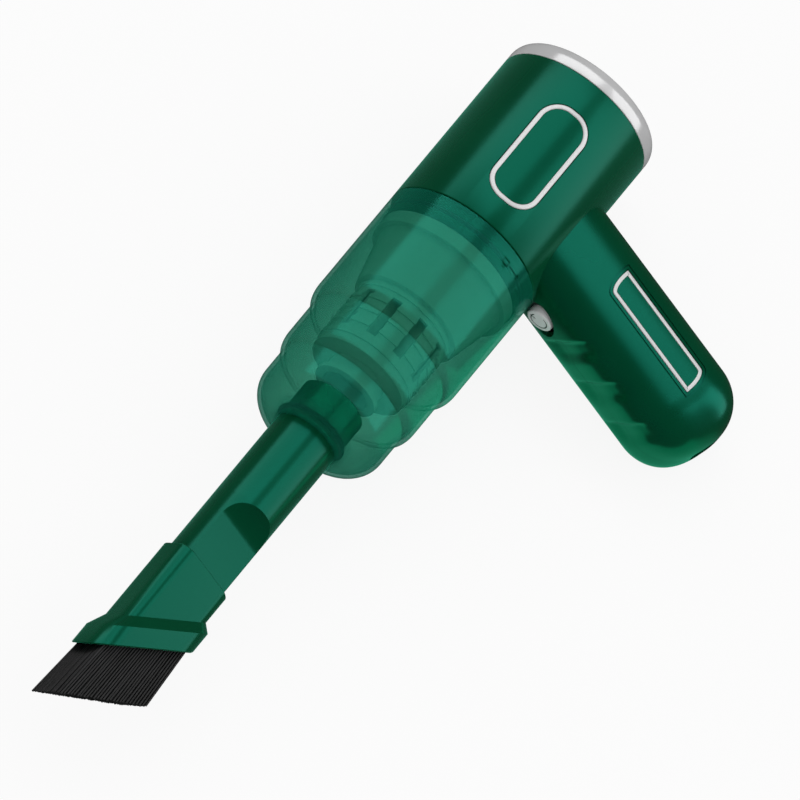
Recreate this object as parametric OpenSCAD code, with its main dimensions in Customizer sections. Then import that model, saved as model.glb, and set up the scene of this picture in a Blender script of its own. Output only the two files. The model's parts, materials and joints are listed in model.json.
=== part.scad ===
// Handheld car vacuum cleaner, lying on its right side as it is put down on a table.
// Each sub-part is drawn in the tool's own frame: X runs along the barrel from the nozzle to the rear,
// Y points away from the handle, Z points to the tool's left, and the barrel's axis is the X axis.
// X = 0 is the seam between the dust cup and the barrel. laid_down() then sets the tool on the floor.

/* [Barrel] */
// Diameter of the barrel and of the widest part of the dust cup
barrel_d = 66; // [64:0.5:70]
// Length of the green barrel behind the seam
barrel_len = 72.8; // [72:0.2:78]
// Thickness of the barrel's wall
barrel_wall = 2.4; // [2.2:0.1:2.8]
// Length of the spigot that the dust cup slips over
spigot_len = 9.8; // [9:0.1:11]
// Thickness of the spigot's wall
spigot_wall = 2; // [1.9:0.1:2.4]
// Length of the chrome ring at the rear
ring_len = 7.9; // [7:0.1:9]
// Length of the outline on the barrel's side
badge_len = 48; // [44:0.5:50]
// Height of the outline on the barrel's side
badge_h = 21.8; // [20:0.2:24]
// Corner radius of that outline
badge_r = 9.5; // [8:0.1:9.8]
// Line width of the silver outlines
stroke = 2; // [1.6:0.1:2.4]
// Depth of the silver outlines in the surface
inlay = 0.8; // [0.6:0.1:1]

/* [Dust cup] */
// Length from the seam to the mouth of the cup
cup_len = 102; // [100:0.5:107]
// Thickness of the cup's wall
cup_wall = 2; // [1.8:0.1:2.2]
// Radius lost at the first step of the cup
cup_step_1 = 2.7; // [2.2:0.1:3]
// Radius lost at the second step of the cup
cup_step_2 = 2.5; // [2:0.1:2.8]
// Distance from the seam to the first step
cup_step_1_x = 48.5; // [46.5:0.5:49.5]
// Distance from the seam to the second step
cup_step_2_x = 71.5; // [69.5:0.5:72.5]
// Length over which each step rounds over
cup_round = 6.4; // [5.5:0.1:6.8]
// Length of the rounded front of the cup
cup_dome = 12; // [11:0.2:13]
// Length of the inlet neck inside the cup
neck_len = 17; // [16:0.5:18]
// Thickness of the inlet neck
neck_wall = 2.8; // [2.6:0.1:3.2]

/* [Filter] */
// Length of the flange band behind the filter's cage
flange_len = 5.6; // [5:0.1:6]
// Length of the plug that seats in the spigot
plug_len = 5.2; // [4.6:0.1:5.4]
// Thickness of the filter's plastic
filter_wall = 1.5; // [1.3:0.1:1.7]
// Length of the cone at the rear of the cage
cage_cone_len = 21.6; // [20:0.2:22]
// Radius of the front of the cone
cage_cone_r = 23; // [22.5:0.1:23.5]
// Radius of the cage's straight part
cage_r = 20.5; // [20:0.1:21]
// Length of the cage's straight part in a cup of the drawn length
cage_len = 28; // [26:0.5:29]
// Number of air slots in the cage
cage_slots = 10; // [8:1:12]
// Number of pleats in the filter paper
pleats = 24; // [18:1:28]
// Length of the finger ring on the filter's cap
cap_len = 8; // [7:0.2:8.4]

/* [Crevice nozzle] */
// Diameter of the nozzle's round tube
tube_d = 26.8; // [26:0.1:27.4]
// Wall of the nozzle
tube_wall = 1.8; // [1.6:0.1:2]
// Thickness of the flattened front
flat_t = 14.4; // [13.6:0.2:15]
// Distance from the seam to where the flats are at full depth
flat_x = 152; // [150:0.5:155]
// Radius of the scoops that lead onto the flats
scoop_r = 12; // [10:0.5:14]
// Turn of the nozzle in the cup as it was left
nozzle_roll = 30; // [0:1:40]
// Slant of the mouth
slant = 41; // [38:0.5:43]

/* [Brush shoe] */
// Distance from the seam to the rear of the shoe
shoe_x = 172; // [168:0.5:175]
// Distance from the seam to the front of the collar, on the centre line
collar_x = 212.7; // [210:0.1:216]
// Half height of the collar
collar_a = 18.4; // [18:0.1:19]
// Half thickness of the collar
collar_b = 11.2; // [11:0.1:11.8]
// Corner radius of the collar
collar_r = 8; // [7:0.1:8.4]
// Length of the collar
collar_len = 10; // [9:0.2:11]
// Length of the bevel behind the collar
bevel_len = 5.5; // [5:0.1:6.5]
// Wall of the shoe's sleeve
shoe_wall = 1.2; // [1.1:0.05:1.4]
// Length of the bristles
bristle_len = 27; // [20:0.5:30]
// Spread of the bristles' tips
bristle_splay = 1.1; // [1:0.01:1.14]
// Thickness of the strip that holds the bristles
backing = 2; // [1.6:0.1:2.4]
// Width of the bristle band round the mouth
bristle_band = 3.2; // [3:0.1:3.4]

/* [Handle] */
// Place on the barrel's axis that the handle's centre line points at
handle_x = 32.3; // [31:0.1:33]
// Lean of the handle
handle_lean = 15.2; // [14:0.2:16]
// Depth of the handle from front to rear
handle_d = 44; // [43.6:0.2:46]
// Width of the handle
handle_w = 38; // [37.4:0.2:40]
// Squareness of the handle's section, where 2 is an ellipse
handle_pow = 3.4; // [3.2:0.1:4]
// Distance from the barrel's axis to where the rounded end starts
handle_len = 102.7; // [101:0.1:106]
// Length of the rounded end
handle_dome = 20; // [19:0.2:22]
// Thickness of the handle's shell
handle_wall = 2.4; // [2.2:0.1:2.6]
// Distance between finger scoops
finger_pitch = 19; // [18:0.2:20]
// Depth of a finger scoop
finger_depth = 2.2; // [1.6:0.1:2.4]
// Radius of the ball that a finger scoop follows
finger_r = 15; // [13:0.5:17]
// Width of the leaf-shaped outline
window_w = 11; // [10:0.2:12]
// Height of the leaf-shaped outline
window_h = 48; // [44:0.5:50]
// Distance of the leaf behind the handle's centre line
window_u = 5.4; // [4:0.1:6]

/* [Power button] */
// Diameter of the button
button_d = 11; // [10:0.2:11.4]
// Distance of the button's axis below the barrel's surface
button_drop = 6.3; // [6.2:0.1:6.8]
// Distance that the button's face stands in front of the seam
button_out = 2.3; // [2:0.1:3]
// Travel of the button
button_travel = 1.2; // [0.8:0.1:1.4]

/* [Battery and charging] */
// Diameter of a cell
cell_d = 18.2; // [17.6:0.1:18.4]
// Length of a cell in a handle of the drawn length
cell_len = 50; // [48:0.5:50.5]
// Width of the charge socket
socket_w = 9; // [8.8:0.1:9.4]
// Height of the charge socket
socket_h = 3.2; // [3:0.1:3.6]
// Depth of the charge socket
socket_len = 7.4; // [7:0.1:8]

/* [Motor and fan] */
// Diameter of the motor
motor_d = 28.4; // [27.6:0.2:30]
// Length of the motor's can
motor_len = 36; // [35:0.2:36.4]
// Diameter of the motor's shaft
shaft_d = 2.3; // [2:0.1:3.2]
// Diameter of the fan
fan_d = 50; // [46:0.5:51]
// Number of fan blades
blades = 9; // [7:1:12]

/* [Fits] */
// Gap all round between pieces that slide or turn on each other
slide_gap = 0.4; // [0.3:0.05:0.5]
// Gap all round a shaft in its bush
bush_gap = 0.05; // [0.02:0.01:0.1]
// Gap all round a screw or a piece that is set in place
set_gap = 0.25; // [0.2:0.05:0.35]

/* [Hidden] */
$fn = 96;
eps = 0.01;
// Cuts run past the faces that they cut by this much
past = 1;

// Barrel and what it holds, from the front to the rear
barrel_r = barrel_d / 2;
bore_r = barrel_r - barrel_wall;
spigot_r = barrel_r - cup_wall - slide_gap;
spigot_in = spigot_r - spigot_wall;
step_x = 3;
inner_r = bore_r - slide_gap;
fan_plate_t = 2;
bracket_t = 2;
fan_room = 13;
fan_x = step_x + fan_plate_t;
bracket_x = fan_x + fan_room;
motor_x = bracket_x + bracket_t;
cap_x = motor_x + motor_len;
end_cap_t = 3;
cushion_x = cap_x + end_cap_t;
cushion_t = 3;
spider_x = cushion_x + cushion_t;
spider_t = 3;
sleeve_x = spider_x + spider_t;
sleeve_in = inner_r - 2;
ring_x = barrel_len + ring_len;
grille_t = 2.5;
lip_t = 3;
lip_r = sleeve_in - 1;
grille_x = ring_x - lip_t - grille_t;
ring_round = [3, 4.7];
badge_x = 35.2;
plate_sunk = inlay / 4;
seal_wire = 1.6;
seal_x = -spigot_len / 2;
seal_groove = 1.2;
groove_half = seal_wire / 2 + 0.3;
tongue_root = 0.6;
wire_x = 26;
wire_z = 7;
wire_r = 0.9;

// Motor's inside
motor_r = motor_d / 2;
can_t = 0.8;
magnet_t = 1.7;
air_gap = 0.6;
bush_r = shaft_d / 2 + 1.85;
boss_r = bush_r + 2;
motor_screw_r = 1.2;
motor_screw_head_r = 2.2;
motor_screw_reach = 8.4;
motor_screw_head_t = 1.5;
motor_screw_end = motor_x + 2.4;
bush_x = bracket_x + 0.3;
can_front = 1.2;
boss_t = 1;
core_x = [motor_x + 6, cap_x - 7];
commutator_end = cap_x - 1.5;
shaft_x = [fan_x + 1, cushion_x + 1.5];

// Dust cup's steps, as a quarter of an ellipse at each
cup_r1 = barrel_r - cup_step_1;
cup_r2 = cup_r1 - cup_step_2;
tube_r = tube_d / 2;
neck_in = tube_r + slide_gap / 2;
neck_r = neck_in + neck_wall;
mouth_r = neck_in + 1.2;
neck_wire = 0.8;
neck_seal_x = 4;
neck_groove = [neck_wire + 0.15, 2 * neck_wire + 0.1];
spigot_end_x = cup_len - neck_len - 1.5;

// Filter's places along the axis; its cage grows with the cup
drawn_cup_len = 102;
cage_l = cage_len + cup_len - drawn_cup_len;
flange_x = spigot_len + flange_len;
cone_x = flange_x + cage_cone_len;
cage_x = cone_x + cage_l;
cap_t = 3;
cap_ring_r = 12;
cap_ring_wall = 2;
cap_lip = 1.5;
flange_r = spigot_r - slide_gap;
pleat_out = cage_r - filter_wall - 2 * set_gap;
pleat_in = pleat_out - 6;
bead = [1.6, 0.8];
bead_bite = 0.5;
slot_end = 5;
slot_half = 2.2;

// Nozzle's places, and where the shoe stops it
flat_h = flat_t / 2;
tube_in = tube_r - tube_wall;
shoulder = 6;
over = 40;
tip_x = collar_x - shoulder - slide_gap / 2;
shoe_a = tube_r + slide_gap + shoe_wall;
shoe_b = flat_h + slide_gap + shoe_wall;
shoe_r = 5.5;
pocket_a = collar_a - 3.4;
pocket_b = collar_b - 2.8;
bristle_gap = 0.2;
mouth_rim = bristle_band + 3 * bristle_gap;
mouth_a = pocket_a - mouth_rim;
mouth_b = pocket_b - mouth_rim;

// Handle's inside
handle_a = handle_d / 2;
handle_b = handle_w / 2;
handle_top = 20;
handle_in_pow = 2.4;
dome_full = 0.8;
dome_steps = [15, 30, 45, 60, 75, 88];
tip_t = handle_len + handle_dome;
window_t = 77.3;
window_r = 5.5;
finger_t = 81;
finger_turn = 142;
tongue = [16.5, 38.5];
tongue_end = 47;
tongue_t = 2;
tongue_screw_x = [21.5, 33.5];
tongue_screw_y = -42.5;
low_screw = [12.5, handle_len + 9.3];
screw_boss_r = 4.4;
screw_r = 1.4;
screw_head_r = 2.8;
screw_head_t = 2;
screw_seat = 11;
screw_reach = 9;
rib_half = 1;
rib_gap = 0.1;
board_grip = [0.8, 4];
saddle_x = 0.6;
saddle_gap = 0.05;
cup_room = 0.2;
tongue_gap = 0.2;

// Button, switch and board, along X
button_r = button_d / 2;
button_y = -barrel_r - button_drop;
guide_x = [0.8, 5];
guide_r = button_r + slide_gap + 1.5;
stem_r = 1.6;
button_flange = 1;
button_lip = 1;
button_flange_x = guide_x[1] + 0.2;
switch_room = 2;
switch_x = button_flange_x + button_flange + button_travel + switch_room;
stem_end_x = switch_x + 0.4;
switch_hole_x = stem_end_x + button_travel + 0.6;
switch_size = [3.4, 6, 6];
board_x = switch_x + switch_size[0];
board_size = [1.6, 11, 20];

// Battery and charge board, along the handle; the cells grow with the handle
drawn_handle_len = 102.7;
cell_l = cell_len + handle_len - drawn_handle_len;
cell_r = cell_d / 2;
cell_u = cell_r + set_gap;
plate_t = 2;
strip_t = 0.4;
cradle_t = 52;
cell_t = cradle_t + plate_t + strip_t;
cradle_end_t = cell_t + cell_l + strip_t;
rail_u = 13;
rail_t = 1.6;
rail_z = cell_r + 0.3;
rib_t = [62, 92];
recess = [6.3, 3.4];
recess_t = 5.7;
socket_face_t = tip_t - recess_t;
socket_skin = 0.4;
charge_board = [15, 10, 1.6];

// Roll that lets the barrel and the handle's end both touch the floor
function roll_for(w, y) = atan2(y, w) - acos(barrel_r / norm([w, y]));
function dome_levels(inset) = concat([[handle_len, 1]], [for (a = dome_steps)
    [handle_len + (handle_dome - inset) * sin(a), pow(cos(a), dome_full)]]);
function section(a, b, pow_n, n = 40) = [for (i = [0 : n - 1]) section_at(a, b, pow_n, 360 * i / n)];
function section_at(a, b, pow_n, turn) =
    [a * sign(cos(turn)) * pow(abs(cos(turn)), 2 / pow_n),
        b * sign(sin(turn)) * pow(abs(sin(turn)), 2 / pow_n)];
roll = min([for (l = dome_levels(0), p = section(handle_a, handle_b, handle_pow)) if (p[1] < -handle_b / 2)
    roll_for(-p[1] * l[1], l[0] * cos(handle_lean) + p[0] * l[1] * sin(handle_lean))]);
front_x = -collar_x - bristle_len - (pocket_a - bristle_gap) * tan(slant);
handle_reach = handle_len * cos(handle_lean)
    + norm([handle_dome * cos(handle_lean), handle_a * sin(handle_lean)]);
shift_x = -(front_x + ring_x) / 2;
shift_y = (handle_reach * cos(roll) - barrel_r) / 2;

// Colours
green = [0.05, 0.36, 0.25];
clear_green = [0.2, 0.55, 0.44, 0.5];
silver = [0.85, 0.86, 0.87];
dark = [0.08, 0.08, 0.09];
pale = [0.8, 0.9, 0.86];
steel = [0.6, 0.61, 0.63];

// Frames of reference
module laid_down() {
    translate([shift_x, shift_y, barrel_r]) rotate([roll, 0, 0]) children();
}
module in_handle() {
    translate([handle_x, 0, 0]) rotate([0, 0, -handle_lean]) children();
}
module in_nozzle() {
    rotate([nozzle_roll, 0, 0]) children();
}
module on_side(side) {
    if (side > 0) children();
    else mirror([0, 0, 1]) children();
}

// Shared shapes
function ellipse_arc(x0, x1, r0, r1, n = 6) =
    [for (i = [0 : n]) [r1 + (r0 - r1) * cos(90 * i / n), x0 + (x1 - x0) * sin(90 * i / n)]];
function round_box(a, b, r, n = 6) = [for (c = [[1, 1, 0], [-1, 1, 90], [-1, -1, 180], [1, -1, 270]])
    for (i = [0 : n]) let (t = c[2] + 90 * i / n)
        [c[0] * (a - r) + r * cos(t), c[1] * (b - r) + r * sin(t)]];
module rod(x0, x1, r) {
    translate([x0, 0, 0]) rotate([0, 90, 0]) cylinder(h = x1 - x0, r = r);
}
module tube(x0, x1, r, hole) {
    difference() {
        rod(x0, x1, r);
        rod(x0 - past, x1 + past, hole);
    }
}
module turned(points) {
    rotate([0, 90, 0]) rotate_extrude() polygon(points);
}
module ring_of(x, r, wire) {
    rotate([0, 90, 0]) translate([0, 0, x]) rotate_extrude() translate([r, 0]) circle(r = wire, $fn = 32);
}
module block(x, y, z) {
    translate([x[0], y[0], z[0]]) cube([x[1] - x[0], y[1] - y[0], z[1] - z[0]]);
}
module pin_z(x, y, z, r) {
    translate([x, y, z[0]]) cylinder(h = z[1] - z[0], r = r);
}

// Barrel
module badge_shape(inset) {
    polygon(round_box(badge_len / 2 - inset, badge_h / 2 - inset, badge_r - inset));
}
module badge_block(inset) {
    translate([badge_x, 0, 0]) linear_extrude(barrel_d) badge_shape(inset);
}
module tongue_holes() {
    for (x = tongue_screw_x) pin_z(x, tongue_screw_y, [-tongue_t - past, tongue_t + past], screw_r + set_gap);
}
module barrel() {
    color(green) laid_down() difference() {
        union() {
            turned([[spigot_r, -spigot_len], [spigot_r, 0], [barrel_r, 0], [barrel_r, barrel_len],
                [bore_r, barrel_len], [bore_r, step_x], [spigot_in, step_x], [spigot_in, -spigot_len]]);
            block(tongue, [-tongue_end, -bore_r - tongue_root], [-tongue_t, tongue_t]);
        }
        tongue_holes();
        tube(seal_x - groove_half, seal_x + groove_half, spigot_r + past, spigot_r - seal_groove);
        for (side = [-1, 1]) {
            on_side(side) difference() {
                badge_block(0);
                rod(0, barrel_len, barrel_r - inlay);
            }
            translate([wire_x, -spigot_in, side * wire_z]) rotate([90, 0, 0])
                cylinder(h = 2 * (barrel_r - spigot_in), r = wire_r + set_gap);
        }
    }
}
module badge_frame(side) {
    color(silver) laid_down() on_side(side) intersection() {
        tube(0, barrel_len, barrel_r, barrel_r - inlay);
        difference() {
            badge_block(set_gap / 2);
            translate([0, 0, -past]) badge_block(stroke);
        }
    }
}
module badge_plate(side) {
    color(green) laid_down() on_side(side) intersection() {
        tube(0, barrel_len, barrel_r - plate_sunk, barrel_r - inlay);
        badge_block(stroke + set_gap / 2);
    }
}

// Rear
module exhaust_ring() {
    color(silver) laid_down() turned(concat(
        [[sleeve_in, sleeve_x], [inner_r, sleeve_x], [inner_r, barrel_len], [barrel_r, barrel_len]],
        ellipse_arc(ring_x - ring_round[1], ring_x, barrel_r, barrel_r - ring_round[0]),
        [[lip_r, ring_x], [lip_r, ring_x - lip_t], [sleeve_in, ring_x - lip_t]]));
}
module exhaust_grille() {
    slot = 2.6;
    pitch = 5;
    rim = 3;
    color(dark) laid_down() difference() {
        rod(grille_x, grille_x + grille_t, sleeve_in - set_gap);
        intersection() {
            rod(grille_x - past, ring_x, lip_r - rim);
            for (i = [-4 : 4])
                block([grille_x - past, ring_x], [i * pitch - slot / 2, i * pitch + slot / 2],
                    [-barrel_r, barrel_r]);
        }
    }
}
module exhaust_foam() {
    color(dark) laid_down() rod(sleeve_x, grille_x, sleeve_in - set_gap);
}

// Fan and motor
module fan_plate() {
    color(dark) laid_down() tube(step_x, fan_x, inner_r, fan_d / 5);
}
module motor_bracket() {
    skirt_in = inner_r - 2;
    vents = 8;
    vent_r = 3;
    vent_reach = motor_r + 2 * vent_r;
    color(dark) laid_down() difference() {
        turned([[inner_r, fan_x], [inner_r, motor_x], [boss_r + set_gap, motor_x],
            [boss_r + set_gap, bracket_x], [skirt_in, bracket_x], [skirt_in, fan_x]]);
        for (i = [0 : vents - 1]) rotate([360 / vents * (i + 0.5), 0, 0]) translate([0, vent_reach, 0])
            rod(fan_x, motor_x + past, vent_r);
        motor_screw_places() rod(fan_x, motor_x + past, motor_screw_r + set_gap);
    }
}
module motor_screw_places() {
    for (side = [-1, 1]) translate([0, side * motor_screw_reach, 0]) children();
}
module motor_screws() {
    color(steel) laid_down() motor_screw_places() {
        rod(bracket_x - motor_screw_head_t, bracket_x, motor_screw_head_r);
        rod(bracket_x - motor_screw_head_t, motor_screw_end, motor_screw_r);
    }
}
module impeller() {
    blade_x = fan_x + 2;
    back_x = blade_x + 6.5;
    back_t = 1.5;
    hub_r = 4.5;
    blade_half = 0.6;
    sweep = 25;
    bite = 0.5;
    color(pale) laid_down() difference() {
        union() {
            rod(blade_x, back_x + back_t, hub_r);
            rod(back_x, back_x + back_t, fan_d / 2);
            intersection() {
                for (i = [0 : blades - 1]) rotate([360 / blades * i, 0, 0])
                    translate([0, hub_r - bite, 0]) rotate([sweep, 0, 0])
                        block([blade_x, back_x + bite], [0, fan_d / 2], [-blade_half, blade_half]);
                rod(blade_x, back_x + back_t, fan_d / 2);
            }
        }
        rod(blade_x - past, back_x + back_t + past, shaft_d / 2);
    }
}
module motor_shaft() {
    color(steel) laid_down() rod(shaft_x[0], shaft_x[1], shaft_d / 2);
}
module motor_can() {
    color(steel) laid_down() difference() {
        turned([[bush_r, bush_x], [boss_r, bush_x], [boss_r, motor_x], [motor_r, motor_x],
            [motor_r, cap_x], [motor_r - can_t, cap_x], [motor_r - can_t, motor_x + can_front],
            [bush_r, motor_x + can_front]]);
        motor_screw_places() rod(motor_x - past, motor_x + can_front + past, motor_screw_r + bush_gap);
    }
}
module motor_magnets() {
    end_room = 4;
    split_half = 4.5;
    color(dark) laid_down() difference() {
        tube(motor_x + end_room, cap_x - end_room, motor_r - can_t, motor_r - can_t - magnet_t);
        block([motor_x, cap_x], [-split_half, split_half], [-motor_r, motor_r]);
    }
}
module armature() {
    core_r = motor_r - can_t - magnet_t - air_gap;
    poles = 5;
    slot_r = 2.2;
    slot_in = 1.5;
    color(steel) laid_down() difference() {
        tube(core_x[0], core_x[1], core_r, shaft_d / 2);
        for (i = [0 : poles - 1]) rotate([360 / poles * i, 0, 0]) translate([0, core_r - slot_in, 0])
            rod(motor_x, cap_x, slot_r);
    }
}
module commutator() {
    bar_t = 2.4;
    color("peru") laid_down() tube(core_x[1], commutator_end, shaft_d / 2 + bar_t, shaft_d / 2);
}
module motor_end_cap() {
    color(dark) laid_down() turned([[bush_r, cap_x], [motor_r, cap_x], [motor_r, cushion_x],
        [boss_r, cushion_x], [boss_r, cushion_x + boss_t], [bush_r, cushion_x + boss_t]]);
}
module shaft_bushes() {
    color("peru") laid_down() {
        tube(bush_x, motor_x + can_front, bush_r, shaft_d / 2 + bush_gap);
        tube(cap_x, cushion_x + boss_t, bush_r, shaft_d / 2 + bush_gap);
    }
}
module motor_cushion() {
    color(dark) laid_down() tube(cushion_x, spider_x, motor_r - 2, boss_r + set_gap);
}
module motor_spider() {
    hub_r = motor_r - 1;
    rim = 2;
    arms = 4;
    arm_half = 2.5;
    color(dark) laid_down() {
        tube(spider_x, sleeve_x, inner_r, inner_r - rim);
        tube(spider_x, sleeve_x, hub_r, boss_r + rim / 2);
        for (i = [0 : arms - 1]) rotate([360 / arms * (i + 0.5), 0, 0])
            block([spider_x, sleeve_x], [hub_r - rim / 2, inner_r - rim / 2], [-arm_half, arm_half]);
    }
}
module lead(points) {
    for (i = [0 : len(points) - 2]) {
        d = points[i + 1] - points[i];
        translate(points[i]) rotate([0, acos(d[2] / norm(d)), atan2(d[1], d[0])])
            cylinder(h = norm(d), r = wire_r, $fn = 24);
        if (i > 0) translate(points[i]) sphere(r = wire_r, $fn = 24);
    }
}
module motor_leads() {
    run_y = -motor_r - 6;
    low_y = button_y + 3;
    end_x = cap_x + end_cap_t / 2;
    end_y = -sqrt(motor_r * motor_r - wire_z * wire_z) - 0.2;
    color("firebrick") laid_down() for (side = [-1, 1]) lead([
        [board_x + board_size[0], low_y, side * wire_z], [wire_x, low_y, side * wire_z],
        [wire_x, run_y, side * wire_z], [end_x, run_y, side * wire_z], [end_x, end_y, side * wire_z]]);
}

// Handle
module handle_form(inset, pow_n = handle_pow, top = handle_top) {
    ring = section(handle_a - inset, handle_b - inset, pow_n);
    levels = concat([[top, 1]], dome_levels(inset));
    n = len(ring);
    last = (len(levels) - 1) * n;
    sides = [for (k = [0 : len(levels) - 2], i = [0 : n - 1])
        let (p = k * n + i, q = k * n + (i + 1) % n) each [[q, p, p + n], [q, p + n, q + n]]];
    caps = [[for (i = [0 : n - 1]) i], [for (i = [n - 1 : -1 : 0]) last + i]];
    in_handle() polyhedron(points = [for (l = levels, p = ring) [p[0] * l[1], -l[0], p[1] * l[1]]],
        faces = concat(sides, caps));
}
module screw_places() {
    for (x = tongue_screw_x) translate([x, tongue_screw_y, 0]) children();
    for (side = [-1, 1]) in_handle() translate([side * low_screw[0], -low_screw[1], 0]) children();
}
module leaf(inset) {
    a = window_w / 2 - inset;
    b = window_h / 2 - inset;
    r = min(window_r - inset, 2 * a - 0.3);
    curve = [for (i = [0 : 6]) [r * cos(90 + 15 * i), r * sin(90 + 15 * i)]];
    polygon(concat([[a, b]], [for (p = curve) [-a + r, b - r] + p],
        [[-a, -b]], [for (p = curve) [a - r, -b + r] - p]));
}
module leaf_block(inset, low, top) {
    intersection() {
        in_handle() translate([window_u, -window_t, handle_b / 2]) linear_extrude(handle_b) leaf(inset);
        difference() {
            handle_form(top);
            handle_form(low, top = handle_top - past);
        }
    }
}
module finger_scoops() {
    spot = section_at(handle_a, handle_b, handle_pow, finger_turn);
    steep = [sign(spot[0]) * pow(abs(spot[0]) / handle_a, handle_pow - 1) / handle_a,
        pow(spot[1] / handle_b, handle_pow - 1) / handle_b];
    away = steep / norm(steep) * (finger_r - finger_depth);
    in_handle() for (i = [-1 : 1])
        translate([spot[0] + away[0], -finger_t - i * finger_pitch, spot[1] + away[1]]) sphere(r = finger_r);
}
module shell_supports() {
    screw_places() pin_z(0, 0, [0, handle_b], screw_boss_r);
    in_handle() for (t = rib_t) block([-rail_u, rail_u], [-t - rib_half, -t + rib_half],
        [rail_z + rail_t + rib_gap, handle_b]);
    block([board_x - board_grip[0], board_x + board_size[0] + board_grip[0]],
        [button_y - board_grip[1], button_y + board_grip[1]], [board_size[2] / 2 + rib_gap, handle_b]);
}
module handle_shell(side) {
    far = 200;
    difference() {
        intersection() {
            handle_form(0);
            on_side(side) translate([-far, -far, 0]) cube(2 * far);
        }
        difference() {
            handle_form(handle_wall, handle_in_pow, handle_top - past);
            on_side(side) shell_supports();
        }
        rod(saddle_x, barrel_len, barrel_r + saddle_gap);
        rod(-barrel_r, saddle_x + rib_gap, barrel_r + slide_gap + cup_room);
        on_side(side) finger_scoops();
        on_side(side) leaf_block(0, inlay, -past);
        block([tongue[0] - tongue_gap, tongue[1] + tongue_gap], [-tongue_end - tongue_gap, 0],
            [-tongue_t - rib_gap, tongue_t + rib_gap]);
        on_button_axis() rod(-barrel_r, guide_x[1] + past, guide_r + rib_gap);
        in_handle() block([-recess[0], recess[0]], [-tip_t - past, -socket_face_t + tongue_gap],
            [-recess[1], recess[1]]);
        screw_places() {
            pin_z(0, 0, [-handle_w, -screw_seat], screw_head_r + set_gap);
            pin_z(0, 0, [-handle_w, 0], screw_r + set_gap);
            pin_z(0, 0, [-past, screw_reach + set_gap], screw_r + bush_gap);
        }
    }
}
module handle_left() {
    color(green) laid_down() handle_shell(1);
}
module handle_right() {
    color(green) laid_down() difference() {
        handle_shell(-1);
        in_handle() block([-charge_board[0] / 2 - rib_gap, charge_board[0] / 2 + rib_gap],
            [-socket_face_t - past, -socket_face_t + charge_board[1] + past],
            [-socket_h / 2 - charge_board[2] - rib_gap, 0]);
    }
}
module handle_screws() {
    color(steel) laid_down() screw_places() {
        pin_z(0, 0, [-screw_seat - screw_head_t, -screw_seat], screw_head_r);
        pin_z(0, 0, [-screw_seat - screw_head_t, screw_reach], screw_r);
    }
}
module window_frame(side) {
    color(silver) laid_down() on_side(side) difference() {
        leaf_block(set_gap / 2, inlay, 0);
        in_handle() translate([window_u, -window_t, 0]) linear_extrude(handle_w) leaf(stroke);
    }
}
module window_plate(side) {
    color(green) laid_down() on_side(side) leaf_block(stroke + set_gap / 2, inlay, plate_sunk);
}

// Power button
module on_button_axis() {
    translate([0, button_y, 0]) children();
}
module power_button() {
    bite = 0.1;
    color(silver) laid_down() on_button_axis() {
        rod(-button_out, button_flange_x + bite, button_r);
        intersection() {
            rod(button_flange_x, button_flange_x + button_flange, button_r + button_lip);
            block([0, barrel_r], [-barrel_r, button_r], [-barrel_r, barrel_r]);
        }
        rod(button_flange_x, stem_end_x, stem_r);
    }
}
module button_guide() {
    color(dark) laid_down() difference() {
        on_button_axis() tube(guide_x[0], guide_x[1], guide_r, button_r + slide_gap);
        rod(-past, barrel_len, barrel_r + rib_gap);
    }
}
module power_switch() {
    color(dark) laid_down() on_button_axis() difference() {
        block([switch_x, board_x], [-switch_size[1] / 2, switch_size[1] / 2],
            [-switch_size[2] / 2, switch_size[2] / 2]);
        rod(switch_x - past, switch_hole_x, stem_r + slide_gap);
    }
}
module control_board() {
    color("darkgreen") laid_down() on_button_axis() block([board_x, board_x + board_size[0]],
        [-board_size[1] / 2, board_size[1] / 2], [-board_size[2] / 2, board_size[2] / 2]);
}

// Battery and charging
module battery_cells() {
    color("royalblue") laid_down() in_handle() for (side = [-1, 1])
        translate([side * cell_u, -cell_t, 0]) rotate([90, 0, 0]) cylinder(h = cell_l, r = cell_r);
}
module battery_cradle() {
    color(dark) laid_down() in_handle() {
        for (t = [cradle_t, cradle_end_t])
            block([-rail_u, rail_u], [-t - plate_t, -t], [-rail_z - rail_t, rail_z + rail_t]);
        for (side = [-1, 1]) on_side(side)
            block([-rail_u, rail_u], [-cradle_end_t - plate_t, -cradle_t], [rail_z, rail_z + rail_t]);
    }
}
module battery_strips() {
    w = cell_r / 2;
    color(silver) laid_down() in_handle() {
        for (side = [-1, 1])
            block([side * cell_u - w, side * cell_u + w], [-cell_t, -cell_t + strip_t], [-w, w]);
        block([-cell_u - w, cell_u + w], [-cradle_end_t, -cradle_end_t + strip_t], [-w, w]);
    }
}
module charge_board() {
    color("darkgreen") laid_down() in_handle() block([-charge_board[0] / 2, charge_board[0] / 2],
        [-socket_face_t, -socket_face_t + charge_board[1]],
        [-socket_h / 2 - charge_board[2], -socket_h / 2]);
}
module charge_socket() {
    color(steel) laid_down() in_handle() difference() {
        block([-socket_w / 2, socket_w / 2], [-socket_face_t, -socket_face_t + socket_len],
            [-socket_h / 2, socket_h / 2]);
        block([-socket_w / 2 + socket_skin, socket_w / 2 - socket_skin],
            [-socket_face_t - past, -socket_face_t + socket_len - past],
            [-socket_h / 2 + socket_skin, socket_h / 2 - socket_skin]);
    }
}

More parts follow.
